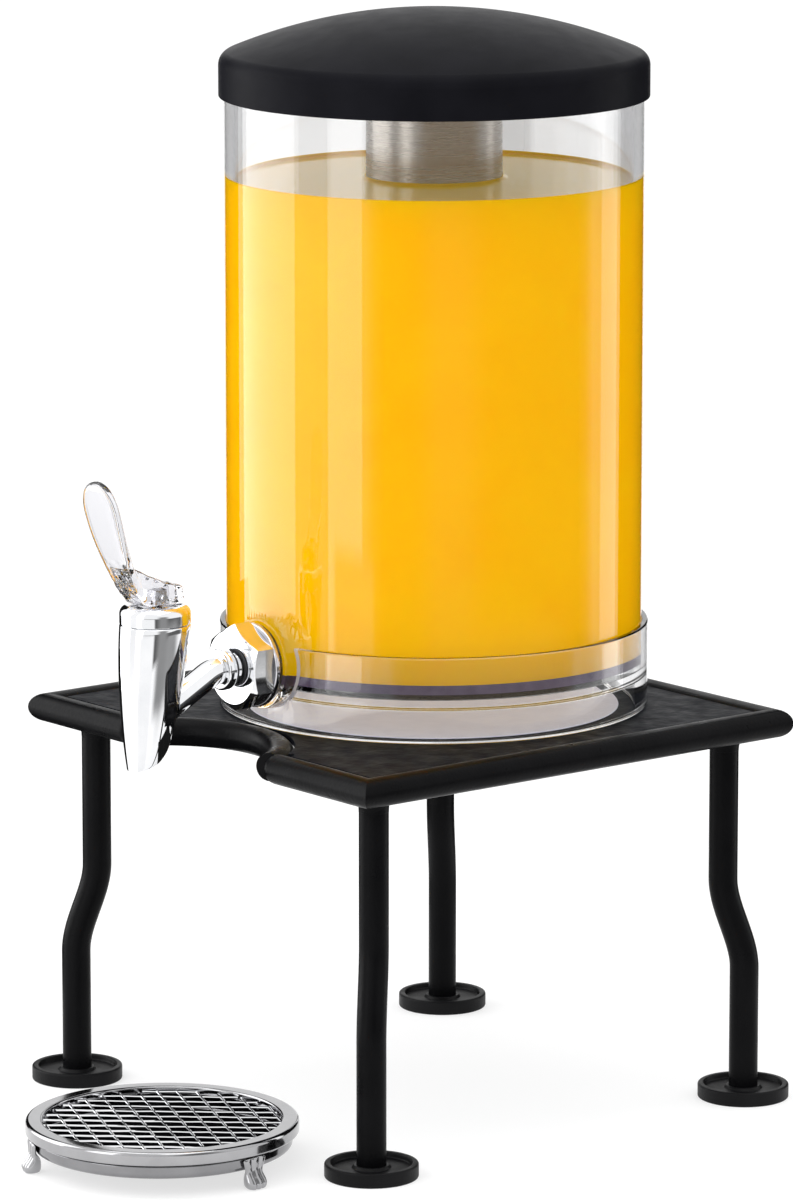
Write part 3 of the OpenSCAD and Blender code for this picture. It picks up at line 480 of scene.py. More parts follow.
def bead(name, centre, ring_r, bead_r, ripples):
    """A rippled weld bead round an upright rod."""
    rings = []
    steps, sides = ripples * 6, 10
    for i in range(steps):
        a = 2 * math.pi * i / steps
        out = Vector((math.cos(a), math.sin(a), 0))
        r = bead_r * (1 + 0.16 * math.sin(ripples * a) + 0.12 * noise.noise(centre * 900 + out * 3))
        spokes = [2 * math.pi * k / sides for k in range(sides)]
        up = Vector((0, 0, 1))
        rings.append([centre + out * (ring_r + r * math.cos(t)) + up * r * math.sin(t) for t in spokes])
    rings.append(rings[0])
    obj = loft(name, rings, IRON, caps=False, sharp=80)
    weld = bmesh.new()
    weld.from_mesh(obj.data)
    bmesh.ops.remove_doubles(weld, verts=weld.verts, dist=1e-7)
    bmesh.ops.recalc_face_normals(weld, faces=weld.faces)
    weld.to_mesh(obj.data)
    weld.free()
    shade(obj, 80)
    return obj


for corner in ("front_left", "front_right", "rear_left", "rear_right"):
    foot_axis, foot_r, _, foot_top = cylinder_of("foot_" + corner)
    outward = Vector((math.copysign(1, foot_axis.x), math.copysign(1, foot_axis.y - stand.y), 0))
    top_axis = foot_axis - outward * LEG_SPLAY
    path = [top_axis + Vector((0, 0, z)) for z in (plate_lo.z, (plate_lo.z + LEG_STRAIGHT_Z) / 2)]
    steps = 28
    for k in range(steps + 1):
        u = k / steps
        swing = u * u * (3 - 2 * u)
        z = LEG_STRAIGHT_Z + (LEG_BEND_Z - LEG_STRAIGHT_Z) * u
        path.append(top_axis.lerp(foot_axis, swing) + Vector((0, 0, z)))
    path.append(foot_axis + Vector((0, 0, FOOT_FLOOR)))
    dress(bar("leg_bar_" + corner, path, ROD_R, IRON), "stand", "black_iron", "leg_" + corner)
    weld_centre = top_axis + Vector((0, 0, plate_lo.z - WELD_DROP))
    weld = bead("leg_weld_" + corner, weld_centre, ROD_R, WELD_R, WELD_RIPPLES)
    dress(weld, "stand", "black_iron")
    flare = []
    flare_steps, sides = 8, 48
    spokes = [2 * math.pi * i / sides for i in range(sides)]
    for k in range(flare_steps + 1):
        u = k / flare_steps
        grow = FLARE_OUT * (1 - math.sqrt(1 - u * u))
        centre = top_axis + outward * grow + Vector((0, 0, frame_lo.z - FLARE_DROP + FLARE_H * u))
        r = ROD_R + FIT_GAP + grow
        flare.append([centre + Vector((r * math.cos(a), r * math.sin(a), 0)) for a in spokes])
    flare.append([Vector((point.x, point.y, plate_lo.z)) for point in flare[-1]])
    dress(loft("leg_flare_" + corner, flare, IRON, sharp=60), "stand", "black_iron")
    boss_z = FOOT_WEB + FOOT_BOSS_H
    profile = rounded([
        (0, 0), (foot_r, 0, 0.9 * MM), (foot_r, foot_top, 1.0 * MM), (foot_r - FOOT_RIM, foot_top, 0.9 * MM),
        (foot_r - FOOT_RIM - 0.6 * MM, FOOT_WEB, 0.8 * MM), (ROD_R + 2.2 * MM, FOOT_WEB, 0.6 * MM),
        (ROD_R + 1.2 * MM, boss_z, 0.5 * MM), (ROD_R + FIT_GAP, boss_z),
        (ROD_R + FIT_GAP, FOOT_FLOOR), (0, FOOT_FLOOR),
    ], closed=False)
    foot = lathe("foot_disc_" + corner, profile, FOOT, Matrix.Translation(foot_axis), 72, closed=False)
    dress(foot, "stand", "foot_plastic", "foot_" + corner)

# Container

OPTICAL_LAP = 0.03 * MM
COLLAR_H, COLLAR_FOOT = 41 * MM, 6 * MM
LEDGE_W, LEDGE_T = 10 * MM, 5 * MM
GLUE_DOWN, GLUE_UP = 2.3 * MM, 2.2 * MM
MENISCUS = 1.6 * MM
BOSS_CLEAR = 25 * MM
tube_axis, tube_r, tube_z, tube_top = cylinder_of("container_tube")
_, juice_r, _, juice_top = cylinder_of("juice")
bore_r = juice_r + FIT_GAP
_, collar_r, collar_z, _ = cylinder_of("base_collar")
collar_top = collar_z + COLLAR_H
_, _, floor_z, floor_top = cylinder_of("container_floor")
_, ice_r, ice_z, ice_top = cylinder_of("ice_tube")
at_tube = Matrix.Translation(tube_axis)
SMOOTH = 256

shank_z = (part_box("tap_nut")[0].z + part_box("tap_nut")[1].z) / 2
juice_line = juice_top + MENISCUS
tube = lathe("clear_tube", rounded([
    (bore_r, tube_z, 0.2 * MM), (tube_r, tube_z, 0.2 * MM),
    (tube_r, shank_z + BOSS_CLEAR), (tube_r, juice_line),
    (tube_r, tube_top, 0.8 * MM), (bore_r, tube_top, 0.8 * MM), (bore_r, juice_line),
]), ACRYLIC, at_tube, SMOOTH)

floor_disc = lathe("clear_floor", rounded([
    (0, floor_z), (tube_r, floor_z, 0.4 * MM),
    (tube_r, floor_top - FIT_GAP, 0.4 * MM), (0, floor_top - FIT_GAP),
], closed=False), ACRYLIC, at_tube, SMOOTH, closed=False)
dress(floor_disc, "container", "clear_acrylic", "container_floor")
glue_in, glue_out = tube_r + 0.01 * MM, tube_r + 0.04 * MM
glue = lathe("glue_line", [
    (glue_in, floor_top - GLUE_DOWN), (glue_out, floor_top - GLUE_DOWN),
    (glue_out, floor_top + GLUE_UP), (glue_in, floor_top + GLUE_UP),
], RIM_GLUE, at_tube, SMOOTH)
dress(glue, "container", "seal_rubber")

ledge_z, ledge_in, foot_in = floor_z - FIT_GAP, tube_r - LEDGE_W, collar_r - COLLAR_FOOT
collar = lathe("clear_collar", rounded([
    (foot_in, collar_z, 0.8 * MM), (collar_r, collar_z, 1.2 * MM), (collar_r, collar_top, 0.9 * MM),
    (tube_r + FIT_GAP, collar_top, 0.5 * MM), (tube_r + FIT_GAP, ledge_z, 0.4 * MM),
    (ledge_in, ledge_z, 0.5 * MM), (ledge_in, floor_z - LEDGE_T, 0.5 * MM),
    (foot_in, floor_z - LEDGE_T, 0.8 * MM),
]), ACRYLIC, at_tube, SMOOTH)

ice_hole = ice_r + 0.3 * MM
ice_floor = ice_z - 0.3 * MM
liquid = lathe("juice_fill", [
    (0, tube_z - OPTICAL_LAP), (bore_r + OPTICAL_LAP, tube_z - OPTICAL_LAP),
    (bore_r + OPTICAL_LAP, juice_line), (bore_r - 0.5 * MM, juice_top + 0.7 * MENISCUS),
    (bore_r - 1.2 * MM, juice_top + 0.3 * MENISCUS), (bore_r - 2.2 * MM, juice_top + 0.08 * MENISCUS),
    (bore_r - 3.5 * MM, juice_top), (ice_hole + 3 * MM, juice_top),
    (ice_hole + 1.6 * MM, juice_top + 0.15 * MENISCUS), (ice_hole + 0.6 * MM, juice_top + 0.45 * MENISCUS),
    (ice_hole, juice_top + 0.8 * MENISCUS), (ice_hole, ice_floor), (0, ice_floor),
], JUICE, at_tube, SMOOTH, closed=False, sharp=60)
liquid.data.materials.append(JUICE_TOP)
for face in liquid.data.polygons:
    face.material_index = int(face.center.z > juice_top - 0.1 * MM)
dress(liquid, "container", "juice", "juice")

PAD_R, PAD_LIFT, PAD_T = 89 * MM, 0.1 * MM, 0.8 * MM
pad = lathe("base_pad", rounded([
    (0, collar_z + PAD_LIFT), (PAD_R, collar_z + PAD_LIFT, 0.3 * MM),
    (PAD_R, collar_z + PAD_T, 0.3 * MM), (0, collar_z + PAD_T),
], closed=False), PAD_PAINTED_GLOW, at_tube, 128, closed=False)
dress(pad, "container", "seal_rubber")

# Tap

wall_y = tube_axis.y - tube_r
at_shank = Matrix.Translation((0, wall_y, shank_z)) @ Matrix.Rotation(math.radians(90), 4, "X")
SHANK_R = 6.5 * MM
BOSS_R, BOSS_T, BOSS_SINK = 21.5 * MM, 7 * MM, 2 * MM
BOSS_HOLE_Z = 1.5 * MM
CUT_R, CUT_START, CUT_END = BOSS_R + 0.3 * MM, -4 * MM, 12 * MM
WASHER_R, WASHER_START, WASHER_END = 20.25 * MM, 9 * MM, 11.5 * MM

cutter = lathe(
    "collar_cutter", [(0, CUT_START), (CUT_R, CUT_START), (CUT_R, CUT_END), (0, CUT_END)],
    ACRYLIC, at_shank, 96, closed=False,
)
cut(collar, cutter)
# The cut face round the boss takes the warm material with a painted glow
collar.data.materials.append(CUT_FACE_PAINTED_GLOW)
from_shank = at_shank.inverted()
for face in collar.data.polygons:
    across = from_shank @ face.center
    at_cut = abs(across.xy.length - CUT_R) < 0.05 * MM
    face.material_index = int(at_cut and CUT_START - MM < across.z < CUT_END)
dress(collar, "container", "clear_acrylic", "base_collar")

boss = lathe("boss", rounded([
    (0, -BOSS_SINK), (BOSS_R, -BOSS_SINK), (BOSS_R, BOSS_T, 0.9 * MM), (SHANK_R + FIT_GAP, BOSS_T),
    (SHANK_R + FIT_GAP, BOSS_HOLE_Z), (0, BOSS_HOLE_Z),
], closed=False), ACRYLIC, at_shank, closed=False)
cut(tube, boss, "UNION")
tube.data.materials.append(HEAD_ACRYLIC_PAINTED_SHADE)
# The tube above the juice takes the darker acrylic, a painted shade
for face in tube.data.polygons:
    face.material_index = int(face.center.z > juice_line)
dress(tube, "container", "clear_acrylic", "container_tube", "tap_boss")

washer = lathe("chrome_washer", rounded([
    (SHANK_R, WASHER_START, 0.3 * MM), (WASHER_R, WASHER_START, 0.5 * MM),
    (WASHER_R, WASHER_END, 0.8 * MM), (SHANK_R, WASHER_END, 0.3 * MM),
]), WASHER, at_shank)
dress(washer, "container", "chrome", "tap_washer")

NUT_FLAT = 18 * MM
NUT_START, NUT_END = WASHER_END, 23 * MM
NUT_CHAMFER = math.tan(math.radians(32))


def nut_rings():
    """A hexagon nut with its corners turned off at the front."""
    sides = 144
    rings = [[] for _ in range(7)]
    for k in range(sides):
        a = 2 * math.pi * k / sides
        across = NUT_FLAT / math.cos((a + math.pi / 6) % (math.pi / 3) - math.pi / 6)
        drop = (across - NUT_FLAT) * NUT_CHAMFER
        spots = [
            (SHANK_R, NUT_START), (across - 0.3 * MM, NUT_START), (across, NUT_START + 0.3 * MM),
            (across, NUT_END - drop - 0.5 * MM), (across - 0.4 * MM, NUT_END - drop - 0.15 * MM),
            (NUT_FLAT - 0.6 * MM, NUT_END), (SHANK_R, NUT_END),
        ]
        for ring, (r, t) in zip(rings, spots):
            ring.append(at_shank @ Vector((r * math.cos(a), r * math.sin(a), t)))
    return rings + [rings[0]]


nut = loft("hex_nut", nut_rings(), CHROME, caps=False, sharp=18)
dress(nut, "container", "chrome", "tap_nut")

body_lo, body_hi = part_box("tap_body")
bonnet_axis, BODY_R, _, bonnet_top = cylinder_of("tap_bonnet")
seam_z = body_hi.z
tip_z = body_lo.z
OUTLET_R = 8.5 * MM
OUTLET_FORWARD = 6.5 * MM
SLANT, SLANT_FROM = math.tan(math.radians(22)), 0.8
TAPER = 1.8


def tap_rings():
    """The tap body from its seam down to the slanted outlet, and back up inside the spout."""
    sides, steps, first = 72, 40, 0.012
    angles = [2 * math.pi * k / sides for k in range(sides)]
    rings = []

    def ring(u, inset=0.0, lift=0.0):
        r = OUTLET_R + (BODY_R - OUTLET_R) * (1 - u ** TAPER) - inset
        y = bonnet_axis.y - OUTLET_FORWARD * u
        front = y - r
        w = max(0.0, (u - SLANT_FROM) / (1 - SLANT_FROM)) ** 2
        points = []
        for a in angles:
            py = y + r * math.sin(a)
            z = seam_z + (tip_z - seam_z) * u + lift + w * SLANT * (py - front)
            points.append(Vector((r * math.cos(a), py, z)))
        return points

    well_r, well_y = BODY_R / 2, bonnet_axis.y
    rings.append([Vector((well_r * math.cos(a), well_y + well_r * math.sin(a), seam_z)) for a in angles])
    rings.append(ring(0.0, 0.9 * MM))
    rings.append(ring(0.004, 0.35 * MM))
    for k in range(steps + 1):
        rings.append(ring(first + (1 - first) * (k / steps) ** 0.9))
    rings.append(ring(1, 0.35 * MM, -0.15 * MM))
    rings.append(ring(1, 1.6 * MM, -0.1 * MM))
    rings.append(ring(1, 2.0 * MM, 0.3 * MM))
    rings.append(ring(1, 3.0 * MM, 14 * MM))
    return rings


tap = loft("tap_shell", tap_rings(), CHROME, sharp=50)
dress(tap, "container", "chrome", "tap_body")

STEM_HOLE_R, BONNET_SHOULDER = 4.05 * MM, 6.5 * MM
SPIGOT_H, SPIGOT_STEP, SEAM = 6 * MM, 1.2 * MM, 0.12 * MM
spigot_r, spigot_z = BODY_R - SPIGOT_STEP, seam_z - SPIGOT_H
bonnet = lathe("tap_cap", rounded([
    (STEM_HOLE_R, spigot_z), (spigot_r, spigot_z), (spigot_r, seam_z + SEAM),
    (BODY_R, seam_z + SEAM, 0.35 * MM), (BODY_R, bonnet_top, BONNET_SHOULDER),
    (STEM_HOLE_R, bonnet_top, 0.4 * MM),
], steps=10), CHROME, Matrix.Translation(bonnet_axis))
dress(bonnet, "container", "chrome", "tap_bonnet")

BEND_R, BEND, BEND_AT, BEND_STEPS = 20 * MM, math.radians(28), 28.5 * MM, 16
SHANK_START, SHANK_MIDDLE, SHANK_REACH = 2 * MM, 14 * MM, 26 * MM
GUIDE_CLEAR = 9.5 * MM
shank_path = [Vector((0, 0, t)) for t in (SHANK_START, SHANK_MIDDLE, BEND_AT)]
for k in range(1, BEND_STEPS + 1):
    a = BEND * k / BEND_STEPS
    shank_path.append(Vector((0, -BEND_R * (1 - math.cos(a)), BEND_AT + BEND_R * math.sin(a))))
shank_path.append(shank_path[-1] + Vector((0, -math.sin(BEND), math.cos(BEND))) * SHANK_REACH)
shank_rings = bar_rings([at_shank @ p for p in shank_path], [SHANK_R] * len(shank_path), 48)
inward = Vector((0, -math.cos(BEND), -math.sin(BEND)))
# The hidden end stops short of the bore that the stem runs in
shank_end_y = bonnet_axis.y + GUIDE_CLEAR
shank_rings[-1] = [point + inward * ((shank_end_y - point.y) / inward.y) for point in shank_rings[-1]]
shank = loft("tap_shank", shank_rings, CHROME)
dress(shank, "container", "chrome")

FLANGE_IN, FLANGE_R, FLANGE_START, FLANGE_END = SHANK_R - 0.1 * MM, 10 * MM, 26 * MM, 31 * MM
NECK_R, NECK_START = 7.5 * MM, 22.5 * MM
flange = lathe("shank_flange", rounded([
    (FLANGE_IN, NECK_START), (NECK_R, NECK_START), (NECK_R, FLANGE_START, 0.4 * MM),
    (FLANGE_R, FLANGE_START, 1.2 * MM), (FLANGE_R, FLANGE_END, 1.6 * MM), (FLANGE_IN, FLANGE_END, 0.5 * MM),
]), CHROME, at_shank)
dress(flange, "container", "chrome")
ring_section = arc(x=8.2 * MM, y=25.2 * MM, r=0.75 * MM, start=0, end=337.5, steps=15)
shank_ring = lathe("shank_ring", ring_section, RUBBER, at_shank, 72, sharp=80)
dress(shank_ring, "container", "seal_rubber")

SPRING_R, SPRING_WIRE_R, SPRING_TURNS = 6.2 * MM, 0.6 * MM, 5
SPRING_STEPS = 24 * SPRING_TURNS
spring_lo, spring_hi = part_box("stem_spring")
spring_h = spring_hi.z - spring_lo.z
spring_path = []
for k in range(SPRING_STEPS + 1):
    u = k / SPRING_STEPS
    a = 2 * math.pi * SPRING_TURNS * u
    z = spring_lo.z + SPRING_WIRE_R + (spring_h - 2 * SPRING_WIRE_R) * u
    spring_path.append(bonnet_axis + Vector((SPRING_R * math.cos(a), SPRING_R * math.sin(a), z)))
spring = bar("return_spring", spring_path, SPRING_WIRE_R, PIN, 10)
dress(spring, "container", "steel", "stem_spring")
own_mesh(spring)

# Lever

pin_lo, pin_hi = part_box("cross_pin")
pin = (pin_lo + pin_hi) / 2
PADDLE_R, PADDLE_T, PADDLE_W = 160 * MM, 4.5 * MM, 25 * MM
PADDLE_START, PADDLE_END = math.radians(61.5), math.radians(80.6)
PADDLE_Y, PADDLE_Z = -16 * MM, 7.25 * MM
CROWN = 14.5 * MM
HUB_HALF, HUB_BACK = 8 * MM, 12 * MM
CAM_H, LIFT_PER_RAD, CAM_END = 3.7 * MM, 8 * MM, math.radians(37)
RIPPLE_H, RIPPLE_SIZE = 0.4 * MM, 3.2 * MM
RIPPLE_TOP, RIPPLE_FADE = 22 * MM, 12 * MM
SLOT_HALF, SLOT_FRONT, SLOT_UP, SLOT_DOWN = 2.8 * MM, -8.3 * MM, 4.54 * MM, -20 * MM
PIN_HOLE_R, PIN_HOLE_HALF = 1.55 * MM, 20 * MM


def paddle_at(a, off=0.0):
    """A point of the paddle's middle plane or beside it, in y and z from the pin."""
    y = PADDLE_Y + PADDLE_R * math.sin(PADDLE_START) - (PADDLE_R + off) * math.sin(a)
    z = PADDLE_Z + PADDLE_R * math.cos(PADDLE_START) - (PADDLE_R + off) * math.cos(a)
    return y, z


def paddle_rings():
    """Lens-shaped sections up the paddle, closing over its crown."""
    swell = paddle_at(PADDLE_END)[1] - CROWN
    start = PADDLE_START - math.radians(2)
    square = 0.4
    steps, sides = 56, 40
    rings = []
    for k in range(steps):
        a = start + (PADDLE_END - start) * math.sin(math.pi / 2 * k / (steps - 0.6))
        z = paddle_at(a)[1]
        if z > swell:
            half = PADDLE_W / 2 * math.sqrt(1 - ((z - swell) / CROWN) ** 2)
        else:
            widen = (1 - math.cos(math.pi * (z + CAM_H) / (swell + CAM_H))) / 2
            half = HUB_HALF + (PADDLE_W / 2 - HUB_HALF) * widen
        thick = PADDLE_T / 2 * min(1, 0.45 + 0.55 * half / HUB_HALF)
        ring = []
        for i in range(sides):
            s = 2 * math.pi * i / sides
            x = half * math.copysign(abs(math.cos(s)) ** square, math.cos(s))
            y, z = paddle_at(a, thick * math.copysign(abs(math.sin(s)) ** square, math.sin(s)))
            ring.append(pin + Vector((x, y, z)))
        rings.append(ring)
    return rings


def hub_rings():
    """The lever's hub: a cam under the pin, a block behind it and a web up to the paddle."""
    outline = [(HUB_BACK, -CAM_H)]
    steps = 8
    for k in range(steps + 1):
        a = CAM_END * k / steps
        h = CAM_H + LIFT_PER_RAD * a
        y = -h * math.sin(a) - LIFT_PER_RAD * math.cos(a)
        outline.append((y, -h * math.cos(a) + LIFT_PER_RAD * math.sin(a)))
    outline.append(paddle_at(PADDLE_START, PADDLE_T / 2))
    outline.append(paddle_at(PADDLE_START + math.radians(3.2), -PADDLE_T / 2))
    outline += [(0, 7.5 * MM), (10 * MM, 5 * MM), (HUB_BACK, 3 * MM)]
    middle_y, middle_z = -1 * MM, 2 * MM
    rings = []
    for x, shrink in ((-1, 0.86), (-0.94, 0.95), (-0.85, 1), (0.85, 1), (0.94, 0.95), (1, 0.86)):
        section = [
            (middle_y + (y - middle_y) * shrink, middle_z + (z - middle_z) * shrink)
            for y, z in outline
        ]
        rings.append([pin + Vector((x * HUB_HALF, y, z)) for y, z in section])
    return rings


def join(obj, other):
    """Adds another object's mesh to an object and removes the other."""
    bm = bmesh.new()
    bm.from_mesh(obj.data)
    bm.from_mesh(other.data)
    bm.to_mesh(obj.data)
    bm.free()
    bpy.data.objects.remove(other)


lever = loft("clear_lever", paddle_rings(), LEVER)
join(lever, loft("hub", hub_rings(), LEVER))
lever.modifiers.clear()
melt = lever.modifiers.new("melt", "REMESH")
melt.mode = "VOXEL"
melt.voxel_size = 0.4 * MM
soften = lever.modifiers.new("soften", "SMOOTH")
soften.factor = 0.5
soften.iterations = 10
apply_modifiers(lever)
normals = [vert.normal.copy() for vert in lever.data.vertices]
for vert, normal in zip(lever.data.vertices, normals):
    low = min(1, max(0, (pin.z + RIPPLE_TOP - vert.co.z) / RIPPLE_FADE))
    vert.co += normal * low * RIPPLE_H * noise.noise(vert.co / RIPPLE_SIZE)
slot_path = [pin + Vector((x, 0, 0)) for x in (-SLOT_HALF, SLOT_HALF)]
slot_ring = [(SLOT_FRONT, SLOT_DOWN), (SLOT_UP, SLOT_DOWN), (SLOT_UP, SLOT_UP), (SLOT_FRONT, SLOT_UP)]
slot = loft("slot", [[at + Vector((0, y, z)) for y, z in slot_ring] for at in slot_path], LEVER)
cut(lever, slot)
hole_ends = [pin + Vector((x, 0, 0)) for x in (-PIN_HOLE_HALF, PIN_HOLE_HALF)]
cut(lever, bar("pin_hole", hole_ends, PIN_HOLE_R, LEVER, 24))
lever.data.materials.clear()
lever.data.materials.append(LEVER)
dress(lever, "tap_lever", "clear_acrylic", "lever")

# Lid and ice tube

_, lid_r, lid_z, lid_apex = cylinder_of("lid")
DOME_R, LID_WALL, SHOULDER = 255 * MM, 3 * MM, 7 * MM
SOCKET_BORE, GROOVE_R, SOCKET_R = 35.55 * MM, 38.55 * MM, 41.55 * MM
ENTRY_START, ENTRY_ANGLE, ENTRY_STEPS = 45.5, 29, 8
socket_z, groove_z, groove_top = tube_top - 3.5 * MM, tube_top + 2.5 * MM, tube_top + 7.5 * MM
lid_seat, plug_z = tube_top + 2 * MM, tube_top - 7 * MM
plug_out, plug_in = bore_r - 0.3 * MM, bore_r - 6.8 * MM
skirt_in = tube_r + 0.6 * MM
dome_z = lid_apex - DOME_R
shoulder_z = dome_z + math.sqrt((DOME_R - SHOULDER) ** 2 - (lid_r - SHOULDER) ** 2)
shoulder_a = math.degrees(math.atan2(shoulder_z - dome_z, lid_r - SHOULDER))
inner_dome = DOME_R - LID_WALL


def under_dome(start_r, end_r, steps):
    """The dome's underside between two radii."""
    angles = [math.degrees(math.acos(r / inner_dome)) for r in (start_r, end_r)]
    return arc(0, dome_z, inner_dome, *angles, steps)


profile = rounded([
    (skirt_in, lid_seat), (skirt_in, lid_z, 0.5 * MM), (lid_r, lid_z, 0.7 * MM), (lid_r, shoulder_z),
], closed=False)[1:-1]
profile += arc(lid_r - SHOULDER, shoulder_z, SHOULDER, 0, shoulder_a, 14)
profile += arc(0, dome_z, DOME_R, shoulder_a + 0.8, 90, 28)[:-1] + [(0, lid_apex), (0, lid_apex - LID_WALL)]
profile += under_dome(3 * MM, SOCKET_BORE, 6)
profile += [(SOCKET_BORE, groove_top), (GROOVE_R, groove_top), (GROOVE_R, groove_z), (SOCKET_BORE, groove_z)]
profile += rounded([
    (SOCKET_BORE, groove_z), (SOCKET_BORE, socket_z, 0.4 * MM),
    (SOCKET_R, socket_z, 0.6 * MM), (SOCKET_R, groove_z),
], closed=False)[1:-1]
profile += under_dome(SOCKET_R, plug_in, 8)
profile += rounded([
    (plug_in, lid_seat), (plug_in, plug_z, 0.8 * MM), (plug_out, plug_z, 1.2 * MM),
    (plug_out, lid_seat), (skirt_in, lid_seat),
], closed=False)[1:]
lid = lathe("lid_dome", profile, LID, at_tube, SMOOTH)
for third in (0, 120, 240):
    edge = [math.radians(third + ENTRY_START + ENTRY_ANGLE * k / ENTRY_STEPS) for k in range(ENTRY_STEPS + 1)]
    flat = [(SOCKET_BORE - 4 * MM, a) for a in edge] + [(GROOVE_R - FIT_GAP, a) for a in reversed(edge)]
    rings = [
        [tube_axis + Vector((r * math.cos(a), r * math.sin(a), z)) for r, a in flat]
        for z in (socket_z - 5 * MM, groove_z + 0.5 * MM)
    ]
    cut(lid, loft("entry_slot", rings, LID))
dress(lid, "cover", "black_plastic", "lid")

ICE_WALL = 1 * MM
ice_tube = lathe("steel_tube", rounded([
    (ice_r - ICE_WALL, ice_z, 0.3 * MM), (ice_r, ice_z, 0.4 * MM),
    (ice_r, ice_top, 0.3 * MM), (ice_r - ICE_WALL, ice_top, 0.3 * MM),
]), STEEL_PAINTED_WARM_REFLECTION, at_tube, 144)
dress(ice_tube, "ice_core", "steel", "ice_tube")

# Drip tray

tray_axis, rim_r, _, tray_top = cylinder_of("tray_rim")
at_tray = Matrix.Translation(tray_axis)
_, dish_r, dish_z, rim_z = cylinder_of("tray_dish")
RIM_W, RIM_SKIRT_H, GRILLE_LEDGE, LEDGE_DROP = 8 * MM, 2.6 * MM, 1.5 * MM, 1.4 * MM
DISH_WALL, NECK_H = 1 * MM, 0.9 * MM
rim_in, skirt_r, neck_r = rim_r - RIM_W, dish_r - 2.8 * MM, dish_r - 1.5 * MM
grille_lo, grille_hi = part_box("tray_grille")

skirt_in_r, skirt_z = skirt_r - DISH_WALL, rim_z - RIM_SKIRT_H
ledge_r, ledge_low = rim_in - GRILLE_LEDGE, grille_lo.z - LEDGE_DROP
rim = lathe("chrome_rim", rounded([
    (skirt_in_r, skirt_z, 0.2 * MM), (skirt_r, skirt_z, 0.2 * MM), (skirt_r, rim_z),
    (rim_r, rim_z, 1.0 * MM), (rim_r, tray_top, 1.8 * MM),
    (rim_in, tray_top, 1.0 * MM), (rim_in, grille_lo.z),
    (ledge_r, grille_lo.z, 0.2 * MM), (ledge_r, ledge_low, 0.2 * MM), (skirt_in_r, ledge_low),
]), TRAY_CHROME_PAINTED_SHADE, at_tray, 160)
dress(rim, "tray_cover", "chrome", "tray_rim")

neck_z, neck_low = rim_z - NECK_H, rim_z - NECK_H - DISH_WALL
wall_in, dish_floor = dish_r - DISH_WALL, dish_z + DISH_WALL
dish = lathe("chrome_dish", rounded([
    (0, dish_z), (dish_r, dish_z, 4 * MM), (dish_r, neck_z, 0.6 * MM), (neck_r, neck_z, 0.2 * MM),
    (neck_r, rim_z, 0.2 * MM), (neck_r - DISH_WALL, rim_z, 0.2 * MM), (neck_r - DISH_WALL, neck_low),
    (wall_in, neck_low), (wall_in, dish_floor, 3 * MM), (0, dish_floor),
], closed=False), DISH_CHROME_PAINTED_SHADE, at_tray, 160, closed=False)
dish.data.materials.append(TRAY_PAINTED_SHADE)
# Painted shadow: the neck's outer face, in the gap under the rim, takes the black shade material
for face in dish.data.polygons:
    outer = (face.center - tray_axis).xy.length > neck_r - 0.1 * MM
    face.material_index = int(outer and face.center.z > neck_z + 0.02 * MM)
dress(dish, "drip_tray", "chrome", "tray_dish")

# Painted shade: a black disc on the dish floor darkens the dish under the grille
SHADE_DISC_LIFT, SHADE_DISC_T = 0.01 * MM, 0.15 * MM
shade_disc_r = dish_r - 4 * MM
shade_disc = lathe("tray_shade_disc", rounded([
    (0, dish_floor + SHADE_DISC_LIFT), (shade_disc_r, dish_floor + SHADE_DISC_LIFT),
    (shade_disc_r, dish_floor + SHADE_DISC_T), (0, dish_floor + SHADE_DISC_T),
], closed=False), TRAY_PAINTED_SHADE, at_tray, 96, closed=False)
dress(shade_disc, "drip_tray", "chrome")

WIRE_PITCH, WIRE_R, CRIMP = 9 * MM, 0.64 * MM, 0.06 * MM
WIRE_TILT, WIRE_TURN, WIRE_STEP = math.radians(37), math.radians(12), 0.9 * MM


def grille_paths():
    """Crimped wires in two directions, each passing over and under the others."""
    middle = tray_axis + Vector((0, 0, (grille_lo.z + grille_hi.z) / 2))
    reach = rim_in - 0.4 * MM
    count = int(reach / WIRE_PITCH)
    paths = []
    for turn in (1, -1):
        angle = WIRE_TURN + turn * WIRE_TILT
        along = Vector((math.cos(angle), math.sin(angle), 0))
        across = Vector((-math.sin(angle), math.cos(angle), 0))
        for i in range(-count, count + 1):
            half = math.sqrt(reach ** 2 - (i * WIRE_PITCH) ** 2)
            steps = max(8, int(half / WIRE_STEP))
            path = []
            for k in range(steps + 1):
                s = half * (2 * k / steps - 1)
                other = turn * s * math.sin(2 * WIRE_TILT) / WIRE_PITCH + i * math.cos(2 * WIRE_TILT)
                lift = turn * CRIMP * math.cos(math.pi * (i + other))
                path.append(middle + across * i * WIRE_PITCH + along * s + Vector((0, 0, lift)))
            paths.append(path)
    return paths


wires = [loft("grille_wires", bar_rings(path, [WIRE_R] * len(path), 8), CHROME) for path in grille_paths()]
grille = wires[0]
for wire in wires[1:]:
    join(grille, wire)
shade(grille)
dress(grille, "tray_cover", "chrome", "tray_grille")

CLAW_SPINE = [
    # z, outer reach, inner reach and half width, in mm, from the dish's wall
    (15.1, 2.3, 0.1, 6.4), (13.5, 2.5, 0.1, 6.3), (11.5, 2.4, 0.1, 5.8), (9.5, 2.2, 0.0, 5.0),
    (8.0, 2.6, -1.6, 4.6), (6.5, 3.6, -2.3, 4.7), (5.0, 4.9, -2.5, 5.0), (3.5, 5.8, -2.5, 5.15),
    (2.0, 5.95, -2.4, 5.0), (0.8, 5.5, -2.0, 4.6), (0.15, 4.8, -1.4, 3.8), (0.0, 3.6, -0.6, 2.4),
]
CLAW_FRONT, CLAW_BACK = 1.15, 1.06
FRONT_STEPS, BACK_STEPS = 24, 8


